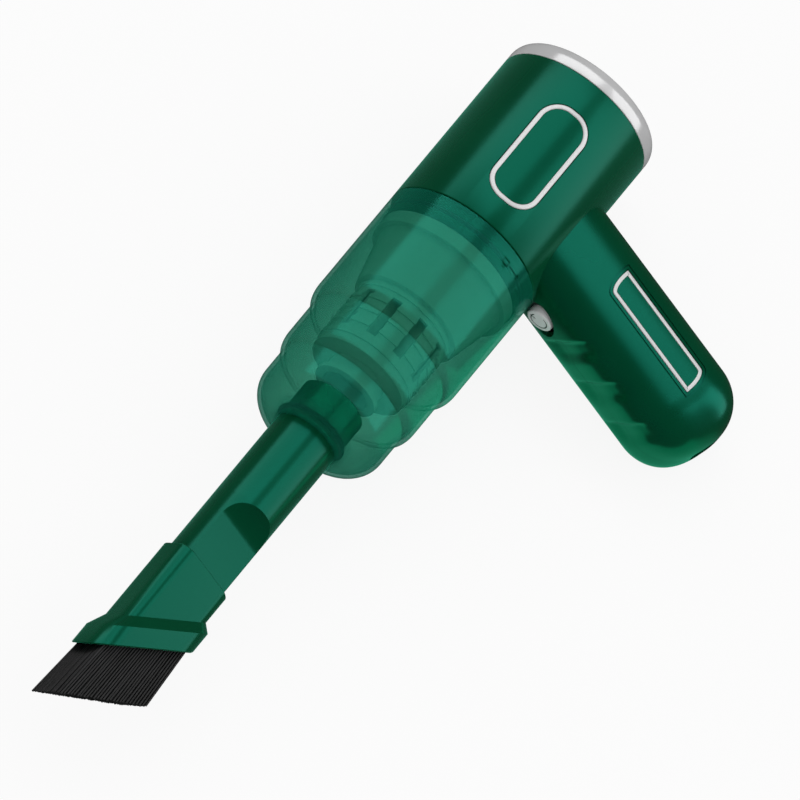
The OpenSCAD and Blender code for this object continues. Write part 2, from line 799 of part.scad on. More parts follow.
// Dust cup
function cup_side(t) = concat([[barrel_r - t, -slide_gap]],
    ellipse_arc(-cup_step_1_x + t / 2, -cup_step_1_x - cup_round + t / 2, barrel_r - t, cup_r1 - t),
    ellipse_arc(-cup_step_2_x + t / 2, -cup_step_2_x - cup_round + t / 2, cup_r1 - t, cup_r2 - t),
    ellipse_arc(-cup_len + cup_dome, -cup_len + t, cup_r2 - t, mouth_r));
module dust_cup() {
    outer = cup_side(0);
    inner = cup_side(cup_wall);
    color(clear_green) laid_down() difference() {
        union() {
            turned(concat(outer, [[neck_in, -cup_len], [neck_in, -cup_len + cup_wall]],
                [for (i = [len(inner) - 1 : -1 : 0]) inner[i]]));
            tube(-cup_len + eps, -cup_len + neck_len, neck_r, neck_in);
        }
        tube(-cup_len + neck_seal_x - neck_groove[0], -cup_len + neck_seal_x + neck_groove[0],
            neck_in + neck_groove[1], neck_in - past);
    }
}
module cup_seal() {
    reach = barrel_r - cup_wall - bush_gap;
    low = spigot_r - seal_groove + bush_gap;
    bevel = 0.3;
    color(dark) laid_down() rotate([0, 90, 0]) translate([0, 0, seal_x]) rotate_extrude()
        polygon([[low, -seal_wire / 2], [reach - bevel, -seal_wire / 2], [reach, -seal_wire / 4],
            [reach, seal_wire / 4], [reach - bevel, seal_wire / 2], [low, seal_wire / 2]]);
}

// Filter
module filter_base() {
    hole = cage_cone_r - 2;
    color(pale) laid_down() turned([[hole, -flange_x], [flange_r, -flange_x], [flange_r, -spigot_len],
        [spigot_in - set_gap, -spigot_len], [spigot_in - set_gap, -spigot_len + plug_len],
        [spigot_in - set_gap - filter_wall, -spigot_len + plug_len],
        [spigot_in - set_gap - filter_wall, -flange_x + filter_wall], [hole, -flange_x + filter_wall]]);
}
module filter_cage() {
    base_r = cage_cone_r + 5;
    beads = 5;
    first_x = -cage_x + 1;
    color(pale) laid_down() difference() {
        union() {
            turned([[base_r, -flange_x], [cage_cone_r, -cone_x], [cage_r, -cone_x], [cage_r, -cage_x],
                [cage_r - filter_wall, -cage_x], [cage_r - filter_wall, -cone_x + filter_wall],
                [cage_cone_r - filter_wall, -cone_x + filter_wall], [base_r - filter_wall, -flange_x]]);
            for (i = [0 : beads - 1]) translate([first_x + i * (cage_l - 4) / (beads - 1), 0, 0])
                tube(0, bead[0], cage_r + bead[1], cage_r - bead_bite);
        }
        for (i = [0 : cage_slots - 1]) rotate([360 / cage_slots * i, 0, 0])
            block([-cage_x + slot_end, -cone_x - slot_end], [0, barrel_r], [-slot_half, slot_half]);
    }
}
module filter_pleats() {
    star = [for (i = [0 : 2 * pleats - 1]) let (r = i % 2 == 0 ? pleat_out : pleat_in)
        [r * cos(180 * i / pleats), r * sin(180 * i / pleats)]];
    core_r = pleat_in - 1.2;
    color("whitesmoke") laid_down() difference() {
        translate([-cage_x, 0, 0]) rotate([0, 90, 0]) linear_extrude(cage_x - flange_x) polygon(star);
        rod(-cage_x - past, 0, core_r);
    }
}
module filter_cap() {
    color(pale) laid_down() {
        rod(-cage_x - cap_t, -cage_x, cage_r);
        tube(-cage_x - cap_t - cap_len, -cage_x - cap_t + eps, cap_ring_r, cap_ring_r - cap_ring_wall);
        tube(-cage_x - cap_t - cap_len, -cage_x - cap_t - cap_len + cap_ring_wall,
            cap_ring_r + cap_lip, cap_ring_r - cap_ring_wall);
    }
}

// Crevice nozzle
module slanted(x, far = 100) {
    translate([-x, 0, 0]) rotate([0, 0, slant]) translate([0, -far, -far]) cube(2 * far);
}
module crevice_nozzle() {
    bore_end_x = -flat_x + scoop_r + tube_wall;
    color(green) laid_down() in_nozzle() difference() {
        rod(-tip_x - over, -spigot_end_x, tube_r);
        for (side = [-1, 1]) on_side(side) {
            block([-tip_x - over - past, -flat_x], [-tube_d, tube_d], [flat_h, tube_d]);
            translate([-flat_x, 0, flat_h + scoop_r]) rotate([90, 0, 0])
                cylinder(h = 2 * tube_d, r = scoop_r, center = true);
        }
        rod(bore_end_x, -spigot_end_x + past, tube_in);
        intersection() {
            rod(-tip_x - over - past, bore_end_x + eps, tube_in);
            block([-tip_x - over - past, 0], [-tube_d, tube_d], [-flat_h + tube_wall, flat_h - tube_wall]);
        }
        difference() {
            rod(-tip_x - 2 * over, 0, tube_d);
            slanted(tip_x);
        }
    }
}
module nozzle_seal() {
    color(dark) laid_down() ring_of(-cup_len + neck_seal_x, tube_r + bush_gap + neck_wire, neck_wire);
}

// Brush shoe
module slanted_slice(x, a, b, r) {
    intersection() {
        translate([-x - over, 0, 0]) rotate([90, 0, 90]) linear_extrude(2 * over) polygon(round_box(a, b, r));
        difference() {
            slanted(x + eps);
            slanted(x);
        }
    }
}
module brush_shoe() {
    color(green) laid_down() in_nozzle() difference() {
        union() {
            hull() {
                slanted_slice(collar_x - eps, collar_a, collar_b, collar_r);
                slanted_slice(collar_x - collar_len, collar_a, collar_b, collar_r);
                slanted_slice(collar_x - collar_len - bevel_len, shoe_a, shoe_b, shoe_r);
            }
            intersection() {
                translate([-shoe_x - 2 * over, 0, 0]) rotate([90, 0, 90]) linear_extrude(2 * over)
                    polygon(round_box(shoe_a, shoe_b, shoe_r));
                slanted(collar_x - past);
            }
        }
        intersection() {
            rod(-collar_x - over, 0, tube_r + slide_gap);
            block([-collar_x - over, 0], [-tube_d, tube_d], [-flat_h - slide_gap, flat_h + slide_gap]);
            slanted(collar_x - shoulder);
        }
        block([-collar_x - over, -shoe_x], [-mouth_a, mouth_a], [-mouth_b, mouth_b]);
        difference() {
            block([-collar_x - over, -shoe_x], [-pocket_a, pocket_a], [-pocket_b, pocket_b]);
            slanted(collar_x - backing);
        }
    }
}

// One band of bristles: a slice of backing cut into cells, with a three-sided strand on each cell.
// y and z give the band's edges, ny and nz the number of strands each way.
module bristle_band(y, z, ny, nz) {
    strand = 0.36;
    cols = ny + 1;
    corners = cols * (nz + 1);
    lean = tan(slant);
    at = function (i, n, edge) edge[0] + (edge[1] - edge[0]) * i / n;
    front = [for (j = [0 : nz], i = [0 : ny]) let (w = at(i, ny, y)) [-collar_x - w * lean, w, at(j, nz, z)]];
    rear = [for (p = front) p + [backing, 0, 0]];
    roots = [for (j = [0 : nz - 1], i = [0 : ny - 1], k = [0 : 2])
        let (w = at(i + 0.5, ny, y) + strand * cos(90 + 120 * k),
            v = at(j + 0.5, nz, z) + strand * sin(90 + 120 * k))
            [-collar_x - w * lean, w, v]];
    tips = [for (p = roots) [p[0] - bristle_len, p[1] * bristle_splay, p[2] * bristle_splay]];
    first_root = 2 * corners;
    first_tip = first_root + len(roots);
    cell = [for (j = [0 : nz - 1], i = [0 : ny - 1])
        let (a = j * cols + i, b = a + 1, c = b + cols, d = a + cols,
            r = first_root + 3 * (j * ny + i), t = first_tip + 3 * (j * ny + i))
            each concat(
                [[a, b, r + 2], [a, r + 2, r + 1], [a, r + 1, d], [b, c, r + 2]],
                [[c, r, r + 2], [c, d, r], [d, r + 1, r]],
                [for (k = [0 : 2]) let (n = (k + 1) % 3) each [[r + k, r + n, t + n], [r + k, t + n, t + k]]],
                [[t, t + 1, t + 2]],
                [[b + corners, a + corners, c + corners], [a + corners, d + corners, c + corners]])];
    rim = concat([for (i = [0 : ny - 1]) i], [for (j = [0 : nz - 1]) j * cols + ny],
        [for (i = [ny : -1 : 1]) nz * cols + i], [for (j = [nz : -1 : 1]) j * cols]);
    wall = [for (k = [0 : len(rim) - 1]) let (p = rim[k], q = rim[(k + 1) % len(rim)])
        each [[p, p + corners, q + corners], [p, q + corners, q]]];
    polyhedron(points = concat(front, rear, roots, tips), faces = concat(cell, wall));
}
module bristles_side(side) {
    edge = pocket_b - bristle_gap;
    z = [edge - bristle_band, edge];
    color(dark) laid_down() in_nozzle() bristle_band([-pocket_a + bristle_gap, pocket_a - bristle_gap],
        side > 0 ? z : [-z[1], -z[0]], 40, 3);
}
module bristles_end(side) {
    edge = pocket_a - bristle_gap;
    y = [edge - bristle_band, edge];
    half = pocket_b - bristle_band - 2 * bristle_gap;
    color(dark) laid_down() in_nozzle() bristle_band(side > 0 ? y : [-y[1], -y[0]], [-half, half], 4, 10);
}

barrel();
exhaust_ring();
exhaust_grille();
exhaust_foam();
badge_frame(1);  // badge_frame_left
badge_frame(-1);  // badge_frame_right
badge_plate(1);  // badge_plate_left
badge_plate(-1);  // badge_plate_right
fan_plate();
motor_bracket();
impeller();
motor_shaft();
motor_can();
motor_magnets();
armature();
commutator();
motor_end_cap();
shaft_bushes();
motor_screws();
motor_cushion();
motor_spider();
motor_leads();
handle_left();
handle_right();
handle_screws();
window_frame(1);  // window_frame_left
window_frame(-1);  // window_frame_right
window_plate(1);  // window_plate_left
window_plate(-1);  // window_plate_right
power_button();
button_guide();
power_switch();
control_board();
battery_cells();
battery_cradle();
battery_strips();
charge_board();
charge_socket();
dust_cup();
cup_seal();
filter_base();
filter_cage();
filter_pleats();
filter_cap();
crevice_nozzle();
nozzle_seal();
brush_shoe();
bristles_side(1);  // bristles_left
bristles_side(-1);  // bristles_right
bristles_end(1);  // bristles_upper
bristles_end(-1);  // bristles_lower
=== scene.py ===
# %% [markdown]
# # A handheld car vacuum cleaner
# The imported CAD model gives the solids, their places and the bodies that move. Solids whose shape is
# already right stay and get a finish. The pieces that the eye rests on are modelled again here, with
# softer edges and finer curves, in the tool's own frame, and are then laid down with the tool.

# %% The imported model
import json
import math
import random

import bpy
from mathutils import Matrix, Vector


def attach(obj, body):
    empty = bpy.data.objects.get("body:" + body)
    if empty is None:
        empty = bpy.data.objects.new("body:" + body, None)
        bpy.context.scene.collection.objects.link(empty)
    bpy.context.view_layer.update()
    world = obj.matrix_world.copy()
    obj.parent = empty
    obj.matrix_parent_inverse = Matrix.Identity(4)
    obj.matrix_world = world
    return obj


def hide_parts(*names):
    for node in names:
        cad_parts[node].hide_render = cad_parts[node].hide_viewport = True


MM = 0.001
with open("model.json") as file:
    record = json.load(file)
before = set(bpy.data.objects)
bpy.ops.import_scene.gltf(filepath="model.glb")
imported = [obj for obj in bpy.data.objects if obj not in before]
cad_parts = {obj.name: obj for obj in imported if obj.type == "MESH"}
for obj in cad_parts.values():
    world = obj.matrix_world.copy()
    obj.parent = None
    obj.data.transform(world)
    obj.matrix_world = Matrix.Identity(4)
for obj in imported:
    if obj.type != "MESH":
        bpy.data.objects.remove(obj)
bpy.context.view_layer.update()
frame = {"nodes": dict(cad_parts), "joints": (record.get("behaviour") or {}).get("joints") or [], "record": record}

# %% [markdown]
# The tool lies on its right side. Its axis is where the dust cup turns, and the charge port tells how
# far the tool is rolled and how far the handle leans. With these, each piece can be drawn in
# millimetres in the frame that suits it: X along the barrel from the nozzle to the rear, Y away from
# the handle, Z to the tool's left.

# %% The tool's own frame
joints = {joint["name"]: joint for joint in frame["joints"]}
port = next(mount for mount in frame["record"]["mounts"] if mount["name"] == "charge_port")
roll = math.atan2(-port["axis"][2], -port["axis"][1])
lean = math.asin(-port["axis"][0])
TOOL = Matrix.Translation(joints["cup_twist"]["pos_m"]) @ Matrix.Rotation(roll, 4, "X")
print("roll %.2f degrees, lean %.2f degrees" % (math.degrees(roll), math.degrees(lean)))

# %% [markdown]
# The camera looks at the tool's left side, from a little in front. A long lens from far away keeps the
# sides of the barrel nearly parallel. The picture is turned, so that the barrel climbs to the upper
# right.

# %% The camera
VIEW = Vector((-0.427, 0, 0.904))
LEVEL_UP = Vector((0, 1, 0))
TURN = math.radians(50.35)
CENTRE_RIGHT, CENTRE_UP = -23.05 * MM, -56.1 * MM
LENS, SENSOR = 800, 36
FRAME_WIDTH = 300.8 * MM
FAR_END = 30
scene = bpy.context.scene
level_right = LEVEL_UP.cross(VIEW)
right = level_right * math.cos(TURN) - LEVEL_UP * math.sin(TURN)
up = level_right * math.sin(TURN) + LEVEL_UP * math.cos(TURN)
middle = right * CENTRE_RIGHT + up * CENTRE_UP
distance = FRAME_WIDTH * LENS / SENSOR
lens = bpy.data.cameras.new("camera")
lens.lens = LENS
lens.sensor_width = SENSOR
lens.clip_end = FAR_END
camera = bpy.data.objects.new("camera", lens)
scene.collection.objects.link(camera)
axes = Matrix((right, up, VIEW.normalized())).transposed().to_4x4()
camera.matrix_world = TOOL @ Matrix.Translation(middle + VIEW.normalized() * distance) @ axes
scene.camera = camera
print("camera %.2f m away" % distance)

# %% [markdown]
# The studio is a white floor under a white sky. Rays that come straight from the camera, or by way of
# clear plastic, see plain white. Reflections see a dark room instead, with soft lamps in it, because
# gloss shows best against the dark. The Light Path node tells these rays apart, so one sky can serve
# both.

# %% The sky
SKY_LIGHT = 0.6
ROOM_LIGHT = 0.05
scene.view_settings.view_transform = "Standard"


def set_range(node, ends, low, high):
    """Sets the From or the To range of a Map Range node."""
    node.inputs[ends + " Min"].default_value = low
    node.inputs[ends + " Max"].default_value = high


def by_ray(tree, plain, reflected, other):
    """A number that depends on how a ray got here: plainly seen, reflected, or as light on a surface."""
    new, link = tree.nodes.new, tree.links.new
    path = new("ShaderNodeLightPath")
    either = new("ShaderNodeMath")
    either.operation = "MAXIMUM"
    link(path.outputs["Is Camera Ray"], either.inputs[0])
    link(path.outputs["Is Transmission Ray"], either.inputs[1])
    mirror = new("ShaderNodeMapRange")
    set_range(mirror, "To", other, reflected)
    link(path.outputs["Is Glossy Ray"], mirror.inputs["Value"])
    choice = new("ShaderNodeMapRange")
    choice.inputs["To Max"].default_value = plain
    link(either.outputs[0], choice.inputs["Value"])
    link(mirror.outputs["Result"], choice.inputs["To Min"])
    return choice.outputs["Result"]


world = bpy.data.worlds.new("sky")
world.use_nodes = True
scene.world = world
sky = world.node_tree.nodes["Background"]
sky.inputs["Color"].default_value = (1, 1, 1, 1)
world.node_tree.links.new(by_ray(world.node_tree, 1.0, ROOM_LIGHT, SKY_LIGHT), sky.inputs["Strength"])
print("sky: %.2f on surfaces, %.2f in reflections" % (SKY_LIGHT, ROOM_LIGHT))

# %% [markdown]
# The floor mixes plain white with a lit surface, so that it keeps a soft shadow of the tool. A green
# card with soft edges lies on it, as a photographer would lay one beside a dark piece. Only reflections
# see it, and it gives the handle's front a green edge of light. A real card would show in the picture,
# so it is part of the floor's finish instead.

# %% The floor
FLOOR_SIZE = 6
FLOOR_TONE, FLOOR_ROUGH, FLOOR_OWN_LIGHT = (0.9, 0.9, 0.9, 1), 0.9, 0.9
CARD_GREEN, CARD_LIGHT = (0.05, 1.0, 0.58, 1), 0.55
# Each edge of the card: the floor's axis, and where on it, in metres, it is bright and has faded.
CARD_EDGES = (("X", 0.085, 0.105), ("X", 0.035, 0.01), ("Y", -0.005, 0.02))
bpy.ops.object.select_all(action="DESELECT")
bpy.ops.mesh.primitive_plane_add(size=FLOOR_SIZE, location=(0, 0, 0))
floor = bpy.context.object
floor.name = "floor"
paper = bpy.data.materials.new("floor_paper")
paper.use_nodes = True
tree = paper.node_tree
new, link = tree.nodes.new, tree.links.new
lit = tree.nodes["Principled BSDF"]
lit.inputs["Base Color"].default_value = FLOOR_TONE
lit.inputs["Roughness"].default_value = FLOOR_ROUGH
lit.inputs["Specular IOR Level"].default_value = 0.0
glow = new("ShaderNodeEmission")
link(by_ray(tree, 1.0, ROOM_LIGHT, 0.0), glow.inputs["Strength"])
card = new("ShaderNodeEmission")
card.inputs["Color"].default_value = CARD_GREEN
spot = new("ShaderNodeTexCoord")
axis = new("ShaderNodeSeparateXYZ")
link(spot.outputs["Object"], axis.inputs[0])
strength = by_ray(tree, 0.0, CARD_LIGHT, 0.0)
for name, bright, faded in CARD_EDGES:
    ramp = new("ShaderNodeMapRange")
    set_range(ramp, "From", faded, bright)
    link(axis.outputs[name], ramp.inputs["Value"])
    link(strength, ramp.inputs["To Max"])
    strength = ramp.outputs["Result"]
link(strength, card.inputs["Strength"])
glows = new("ShaderNodeAddShader")
link(glow.outputs[0], glows.inputs[0])
link(card.outputs[0], glows.inputs[1])
mixed = new("ShaderNodeMixShader")
link(by_ray(tree, FLOOR_OWN_LIGHT, 1.0, 0.0), mixed.inputs[0])
link(lit.outputs[0], mixed.inputs[1])
link(glows.outputs[0], mixed.inputs[2])
link(mixed.outputs[0], tree.nodes["Material Output"].inputs["Surface"])
floor.data.materials.append(paper)
print("floor: %d m wide" % FLOOR_SIZE)

# %% [markdown]
# Two bright lamps stand on either side of a dimmer one. A round and glossy piece shows each lamp as a
# band of light along its length, so the barrel gets two broad bands with a faint one between them. The
# lamps are given by the angles under which the tool sees them, because these angles set the width of
# the bands.

# %% The lamps
LAMP_REACH, LAMP_SLOPE, LAMP_WIDE = 4, 29.5, 21


def softbox(name, tilt, span, light):
    """A soft lamp, tilted from straight up towards +Y and sloped towards +X; all angles are in degrees."""
    size = [2 * LAMP_REACH * math.tan(math.radians(angle / 2)) for angle in (LAMP_WIDE, span)]
    data = bpy.data.lights.new(name, "AREA")
    data.shape = "RECTANGLE"
    data.size, data.size_y = size
    data.energy = light * math.pi * size[0] * size[1]
    lamp = bpy.data.objects.new(name, data)
    scene.collection.objects.link(lamp)
    tilted = Matrix.Rotation(-math.radians(tilt), 4, "X")
    turn = tilted @ Matrix.Rotation(math.radians(LAMP_SLOPE), 4, "Y")
    lamp.matrix_world = Matrix.Translation(TOOL.translation) @ turn @ Matrix.Translation((0, 0, LAMP_REACH))


softbox("far_lamp", tilt=26.5, span=64, light=1.35)
softbox("near_lamp", tilt=-61, span=56, light=1.35)
softbox("middle_lamp", tilt=-20, span=20, light=0.45)
print("three lamps, %d m from the tool" % LAMP_REACH)

# %% [markdown]
# Each finish is a principled shader whose colour drifts a little between two close tones and whose
# roughness follows the same grain, as moulded plastic and drawn metal do. A fine bump gives the skin of
# the moulding. Numbers that are the same all over are set on the shader itself.

# %% A helper for finishes
TONE_SPOTS, GRAIN_DETAIL = (0.35, 0.65), 3.0
SKIN_FINER, SKIN_DETAIL, SKIN_DEPTH = 40, 2.0, 0.1 * MM
finishes = {}


def finish(name, tones, grain, rough, bump=0.0, stretch=(1, 1, 1), **sockets):
    """A finish that drifts between two tones and two roughnesses; grain is its noise's scale per metre."""
    material = bpy.data.materials.new(name)
    material.use_nodes = True
    tree = material.node_tree
    new, link = tree.nodes.new, tree.links.new
    shader = tree.nodes["Principled BSDF"]
    place = new("ShaderNodeTexCoord")
    turn = new("ShaderNodeMapping")
    turn.inputs["Scale"].default_value = stretch
    noise = new("ShaderNodeTexNoise")
    noise.inputs["Scale"].default_value = grain
    noise.inputs["Detail"].default_value = GRAIN_DETAIL
    ramp = new("ShaderNodeValToRGB")
    for stop, spot, tone in zip(ramp.color_ramp.elements, TONE_SPOTS, tones):
        stop.position = spot
        stop.color = (*tone, 1)
    sheen = new("ShaderNodeMapRange")
    set_range(sheen, "To", *rough)
    link(place.outputs["Object"], turn.inputs["Vector"])
    link(turn.outputs["Vector"], noise.inputs["Vector"])
    link(noise.outputs["Fac"], ramp.inputs["Fac"])
    link(ramp.outputs["Color"], shader.inputs["Base Color"])
    link(noise.outputs["Fac"], sheen.inputs["Value"])
    link(sheen.outputs["Result"], shader.inputs["Roughness"])
    if bump:
        skin = new("ShaderNodeTexNoise")
        skin.inputs["Scale"].default_value = SKIN_FINER * grain
        skin.inputs["Detail"].default_value = SKIN_DETAIL
        lift = new("ShaderNodeBump")
        lift.inputs["Strength"].default_value = bump
        lift.inputs["Distance"].default_value = SKIN_DEPTH
        link(turn.outputs["Vector"], skin.inputs["Vector"])
        link(skin.outputs["Fac"], lift.inputs["Height"])
        link(lift.outputs["Normal"], shader.inputs["Normal"])
    for socket, value in sockets.items():
        shader.inputs[socket.replace("_", " ")].default_value = value
    finishes[name] = material


print("finish helper ready")

# %% [markdown]
# The body is moulded in green plastic under a green lacquer, so its highlights are green too: a tinted
# specular gives them, and some sheen lifts the edges. The plating is a bright paint more than a mirror,
# and a low metallic share keeps it pale where a mirror would show the dark room. Inside are paper,
# steel, copper and rubber, which show only when the tool is opened.

# %% The list of finishes
GREEN = ((0.0003, 0.052, 0.0165), (0.0006, 0.06, 0.0195))
GLOSS = (0.2, 0.26)
GREEN_SHINE = (0.05, 1.0, 0.74, 1)
finish("gloss_green", GREEN, 30, GLOSS, 0.05, Specular_IOR_Level=1.0, Specular_Tint=GREEN_SHINE,
       Sheen_Weight=0.4, Sheen_Roughness=0.35, Sheen_Tint=(0.1, 1.0, 0.65, 1))
finish("grip_green", GREEN, 30, GLOSS, 0.05, IOR=1.62, Specular_IOR_Level=1.0, Specular_Tint=GREEN_SHINE)
# The spigot's finish is painted light: the nozzle's green made paler and glossier, for the light it loses inside
# the cup.
finish("spigot_painted_lit_green", ((0.004, 0.15, 0.07), (0.005, 0.17, 0.08)), 30, GLOSS,
       IOR=2.2, Specular_IOR_Level=1.0, Specular_Tint=(0.08, 1.0, 0.74, 1))
finish("deep_green", ((0.0002, 0.045, 0.014), (0.0005, 0.052, 0.0165)), 30, GLOSS, 0.05,
       Specular_IOR_Level=0.95, Specular_Tint=(0.04, 1.0, 0.7, 1))
finish("clear_green", ((0.007, 0.21, 0.125), (0.009, 0.23, 0.14)), 30, (0.16, 0.22),
       IOR=2.0, Specular_IOR_Level=1.0, Specular_Tint=(0.06, 1.0, 0.74, 1))
finish("clear_neck", ((0.3, 0.6, 0.5), (0.36, 0.66, 0.56)), 30, (0.1, 0.16))
finish("chrome", ((0.8, 0.8, 0.805), (0.86, 0.86, 0.865)), 60, (0.16, 0.22), Metallic=0.36)
finish("bright_chrome", ((0.9, 0.9, 0.905), (0.95, 0.95, 0.955)), 60, (0.25, 0.35), Metallic=0.05)
finish("silver_trim", ((0.86, 0.86, 0.865), (0.92, 0.92, 0.925)), 80, (0.28, 0.4), Metallic=0.25)
finish("black_plastic", ((0.012, 0.012, 0.013), (0.02, 0.02, 0.022)), 200, (0.4, 0.55), 0.1)
finish("black_rubber", ((0.008, 0.008, 0.008), (0.014, 0.014, 0.014)), 150, (0.45, 0.6), 0.1)
finish("black_foam", ((0.008, 0.008, 0.009), (0.03, 0.03, 0.032)), 900, (0.8, 0.95), 1.0)
finish("bristle", ((0.006, 0.006, 0.006), (0.018, 0.018, 0.019)), 500, (0.3, 0.45), stretch=(0.05, 1, 1))
finish("pale_plastic", ((0.84, 0.93, 0.89), (0.9, 0.97, 0.94)), 40, (0.12, 0.2),
       Transmission_Weight=0.1, IOR=1.4)
finish("filter_paper", ((0.84, 0.86, 0.82), (0.92, 0.93, 0.9)), 400, (0.85, 0.95), 0.6)
finish("steel", ((0.45, 0.46, 0.47), (0.58, 0.58, 0.6)), 250, (0.25, 0.4), stretch=(1, 6, 6), Metallic=1.0)
finish("copper", ((0.6, 0.3, 0.16), (0.75, 0.42, 0.25)), 250, (0.25, 0.4), Metallic=1.0)
finish("magnet", ((0.03, 0.03, 0.032), (0.06, 0.06, 0.064)), 300, (0.5, 0.7), 0.3)
finish("board", ((0.01, 0.07, 0.025), (0.02, 0.13, 0.05)), 350, (0.3, 0.4), 0.1)
finish("cell_wrap", ((0.03, 0.09, 0.3), (0.04, 0.12, 0.38)), 60, (0.25, 0.35))
finish("red_wire", ((0.3, 0.01, 0.008), (0.4, 0.02, 0.015)), 200, (0.35, 0.5))
print("finishes:", len(finishes))

# %% [markdown]
# The dust cup is clear plastic. A glass shader would bend what is behind each skin of its wall, and
# take many rays to do so. Here light goes straight through and is tinted, and a share of the solid
# finish keeps the gloss. That share grows towards the edges, where the eye looks along the wall and so
# through more plastic. The wall's inner faces are marked as lining: from inside the cup they look
# milky, and from the plastic's side clear.

# %% The clear plastic
LINING = "lining"
EDGE_BLEND = 0.35


def let_through(name, tint, face_on, edge_on, lining=None):
    """Lets light straight through a finish; the solid share grows from face_on to edge_on towards the edges.

    Faces marked as lining have the lining's share on their front instead, and none on their back.
    """
    tree = finishes[name].node_tree
    new, link = tree.nodes.new, tree.links.new
    clear = new("ShaderNodeBsdfTransparent")
    clear.inputs["Color"].default_value = (*tint, 1)
    edge = new("ShaderNodeLayerWeight")
    edge.inputs["Blend"].default_value = EDGE_BLEND
    share = new("ShaderNodeMapRange")
    set_range(share, "To", face_on, edge_on)
    link(edge.outputs["Facing"], share.inputs["Value"])
    solid = share.outputs["Result"]
    if lining is not None:
        side = new("ShaderNodeNewGeometry")
        front = new("ShaderNodeMapRange")
        set_range(front, "To", lining, 0.0)
        link(side.outputs["Backfacing"], front.inputs["Value"])
        mark = new("ShaderNodeAttribute")
        mark.attribute_name = LINING
        choice = new("ShaderNodeMapRange")
        link(mark.outputs["Fac"], choice.inputs["Value"])
        link(solid, choice.inputs["To Min"])
        link(front.outputs["Result"], choice.inputs["To Max"])
        solid = choice.outputs["Result"]
    both = new("ShaderNodeMixShader")
    link(solid, both.inputs[0])
    link(clear.outputs[0], both.inputs[1])
    link(tree.nodes["Principled BSDF"].outputs[0], both.inputs[2])
    link(both.outputs[0], tree.nodes["Material Output"].inputs["Surface"])


let_through("clear_green", (0.57, 0.855, 0.775), face_on=0.2, edge_on=0.9, lining=0.5)
let_through("clear_neck", (0.93, 0.98, 0.97), face_on=0.03, edge_on=0.2)
print("clear finishes: clear_green, clear_neck")

# %% [markdown]
# The filter, the motor, the battery and the other inner pieces keep their CAD shapes. Each solid names
# the slot of its finish in the record, so one loop dresses them all.

# %% Finishes for the CAD solids
slots = {part["node"]: part["material_slot"] for part in frame["record"]["subparts"]}
for node, solid in frame["nodes"].items():
    solid.data.materials.clear()
    solid.data.materials.append(finishes[slots[node]])
print("solids with a finish:", len(slots))

# %% [markdown]
# Most pieces of the tool are round, as if turned on a lathe. A lathe needs an outline. Corners of the
# drawing carry a radius, because a moulded edge is never quite sharp, and a dome is a quarter of an
# ellipse.

# %% Helpers for outlines
def rounded(corners, steps=5):
    """Corner points (x, radius, rounding) as an outline with an arc at each rounded corner."""
    outline = []
    for i, (x, y, rounding) in enumerate(corners):
        here = Vector((x, y))
        if not rounding:
            outline.append((x, y))
            continue
        back = (Vector(corners[i - 1][:2]) - here).normalized()
        ahead = (Vector(corners[(i + 1) % len(corners)][:2]) - here).normalized()
        half = back.angle(ahead) / 2
        centre = here + (back + ahead).normalized() * (rounding / math.sin(half))
        first = here + back * (rounding / math.tan(half)) - centre
        last = here + ahead * (rounding / math.tan(half)) - centre
        for k in range(steps + 1):
            spoke = first.slerp(last, k / steps) * rounding
            outline.append(tuple(centre + spoke))
    return outline


def quarter(x0, x1, r0, r1, steps=14):
    """Points of a quarter ellipse that leaves r0 along X at x0 and comes down to r1 at x1."""
    points = []
    for i in range(steps + 1):
        angle = math.pi / 2 * i / steps
        points.append((x0 + (x1 - x0) * math.sin(angle), r1 + (r0 - r1) * math.cos(angle)))
    return points


def rectangle(x0, x1, y0, y1):
    """Corners of an upright rectangle."""
    return [(x0, y0), (x1, y0), (x1, y1), (x0, y1)]


def round_box(a, b, r, steps=10):
    """A box with half sizes a and b and round corners."""
    points = []
    for corner, (sx, sy) in enumerate(((1, 1), (-1, 1), (-1, -1), (1, -1))):
        for i in range(steps + 1):
            angle = math.radians(90 * corner + 90 * i / steps)
            points.append((sx * (a - r) + r * math.cos(angle), sy * (b - r) + r * math.sin(angle)))
    return points


print("a round box has", len(round_box(2, 2, 1)), "points")

# %% [markdown]
# In Blender the outline starts as a circle whose points are pulled onto the drawing, and the Spin tool
# turns it round the axis. The seam is then merged and the faces are turned outwards, which Spin doesn't
# see to.

# %% The lathe
WELD = 0.002 * MM


def edit(piece):
    """Selects only this piece, with all of its mesh, in edit mode."""
    bpy.ops.object.select_all(action="DESELECT")
    piece.select_set(True)
    bpy.context.view_layer.objects.active = piece
    bpy.ops.object.mode_set(mode="EDIT")
    bpy.ops.mesh.select_all(action="SELECT")


def face_outwards(piece):
    """Turns the faces of a closed mesh outwards."""
    edit(piece)
    bpy.ops.mesh.normals_make_consistent(inside=False)
    bpy.ops.object.mode_set(mode="OBJECT")


def outline_loop(name, points):
    """A circle primitive whose points are pulled onto a drawing in the XY plane."""
    bpy.ops.object.select_all(action="DESELECT")
    bpy.ops.mesh.primitive_circle_add(vertices=len(points), radius=10 * MM, fill_type="NGON")
    piece = bpy.context.object
    piece.name = name
    for vertex, (x, y) in zip(piece.data.vertices, points):
        vertex.co = (x * MM, y * MM, 0)
    return piece


def turned(name, points, steps):
    """A closed outline of (x, radius) points, spun round the X axis."""
    piece = outline_loop(name, points)
    edit(piece)
    bpy.ops.mesh.delete(type="ONLY_FACE")
    bpy.ops.mesh.select_all(action="SELECT")
    bpy.ops.mesh.spin(steps=steps, angle=2 * math.pi, center=(0, 0, 0), axis=(1, 0, 0))
    bpy.ops.mesh.select_all(action="SELECT")
    bpy.ops.mesh.remove_doubles(threshold=WELD)
    bpy.ops.mesh.normals_make_consistent(inside=False)
    bpy.ops.object.mode_set(mode="OBJECT")
    return piece


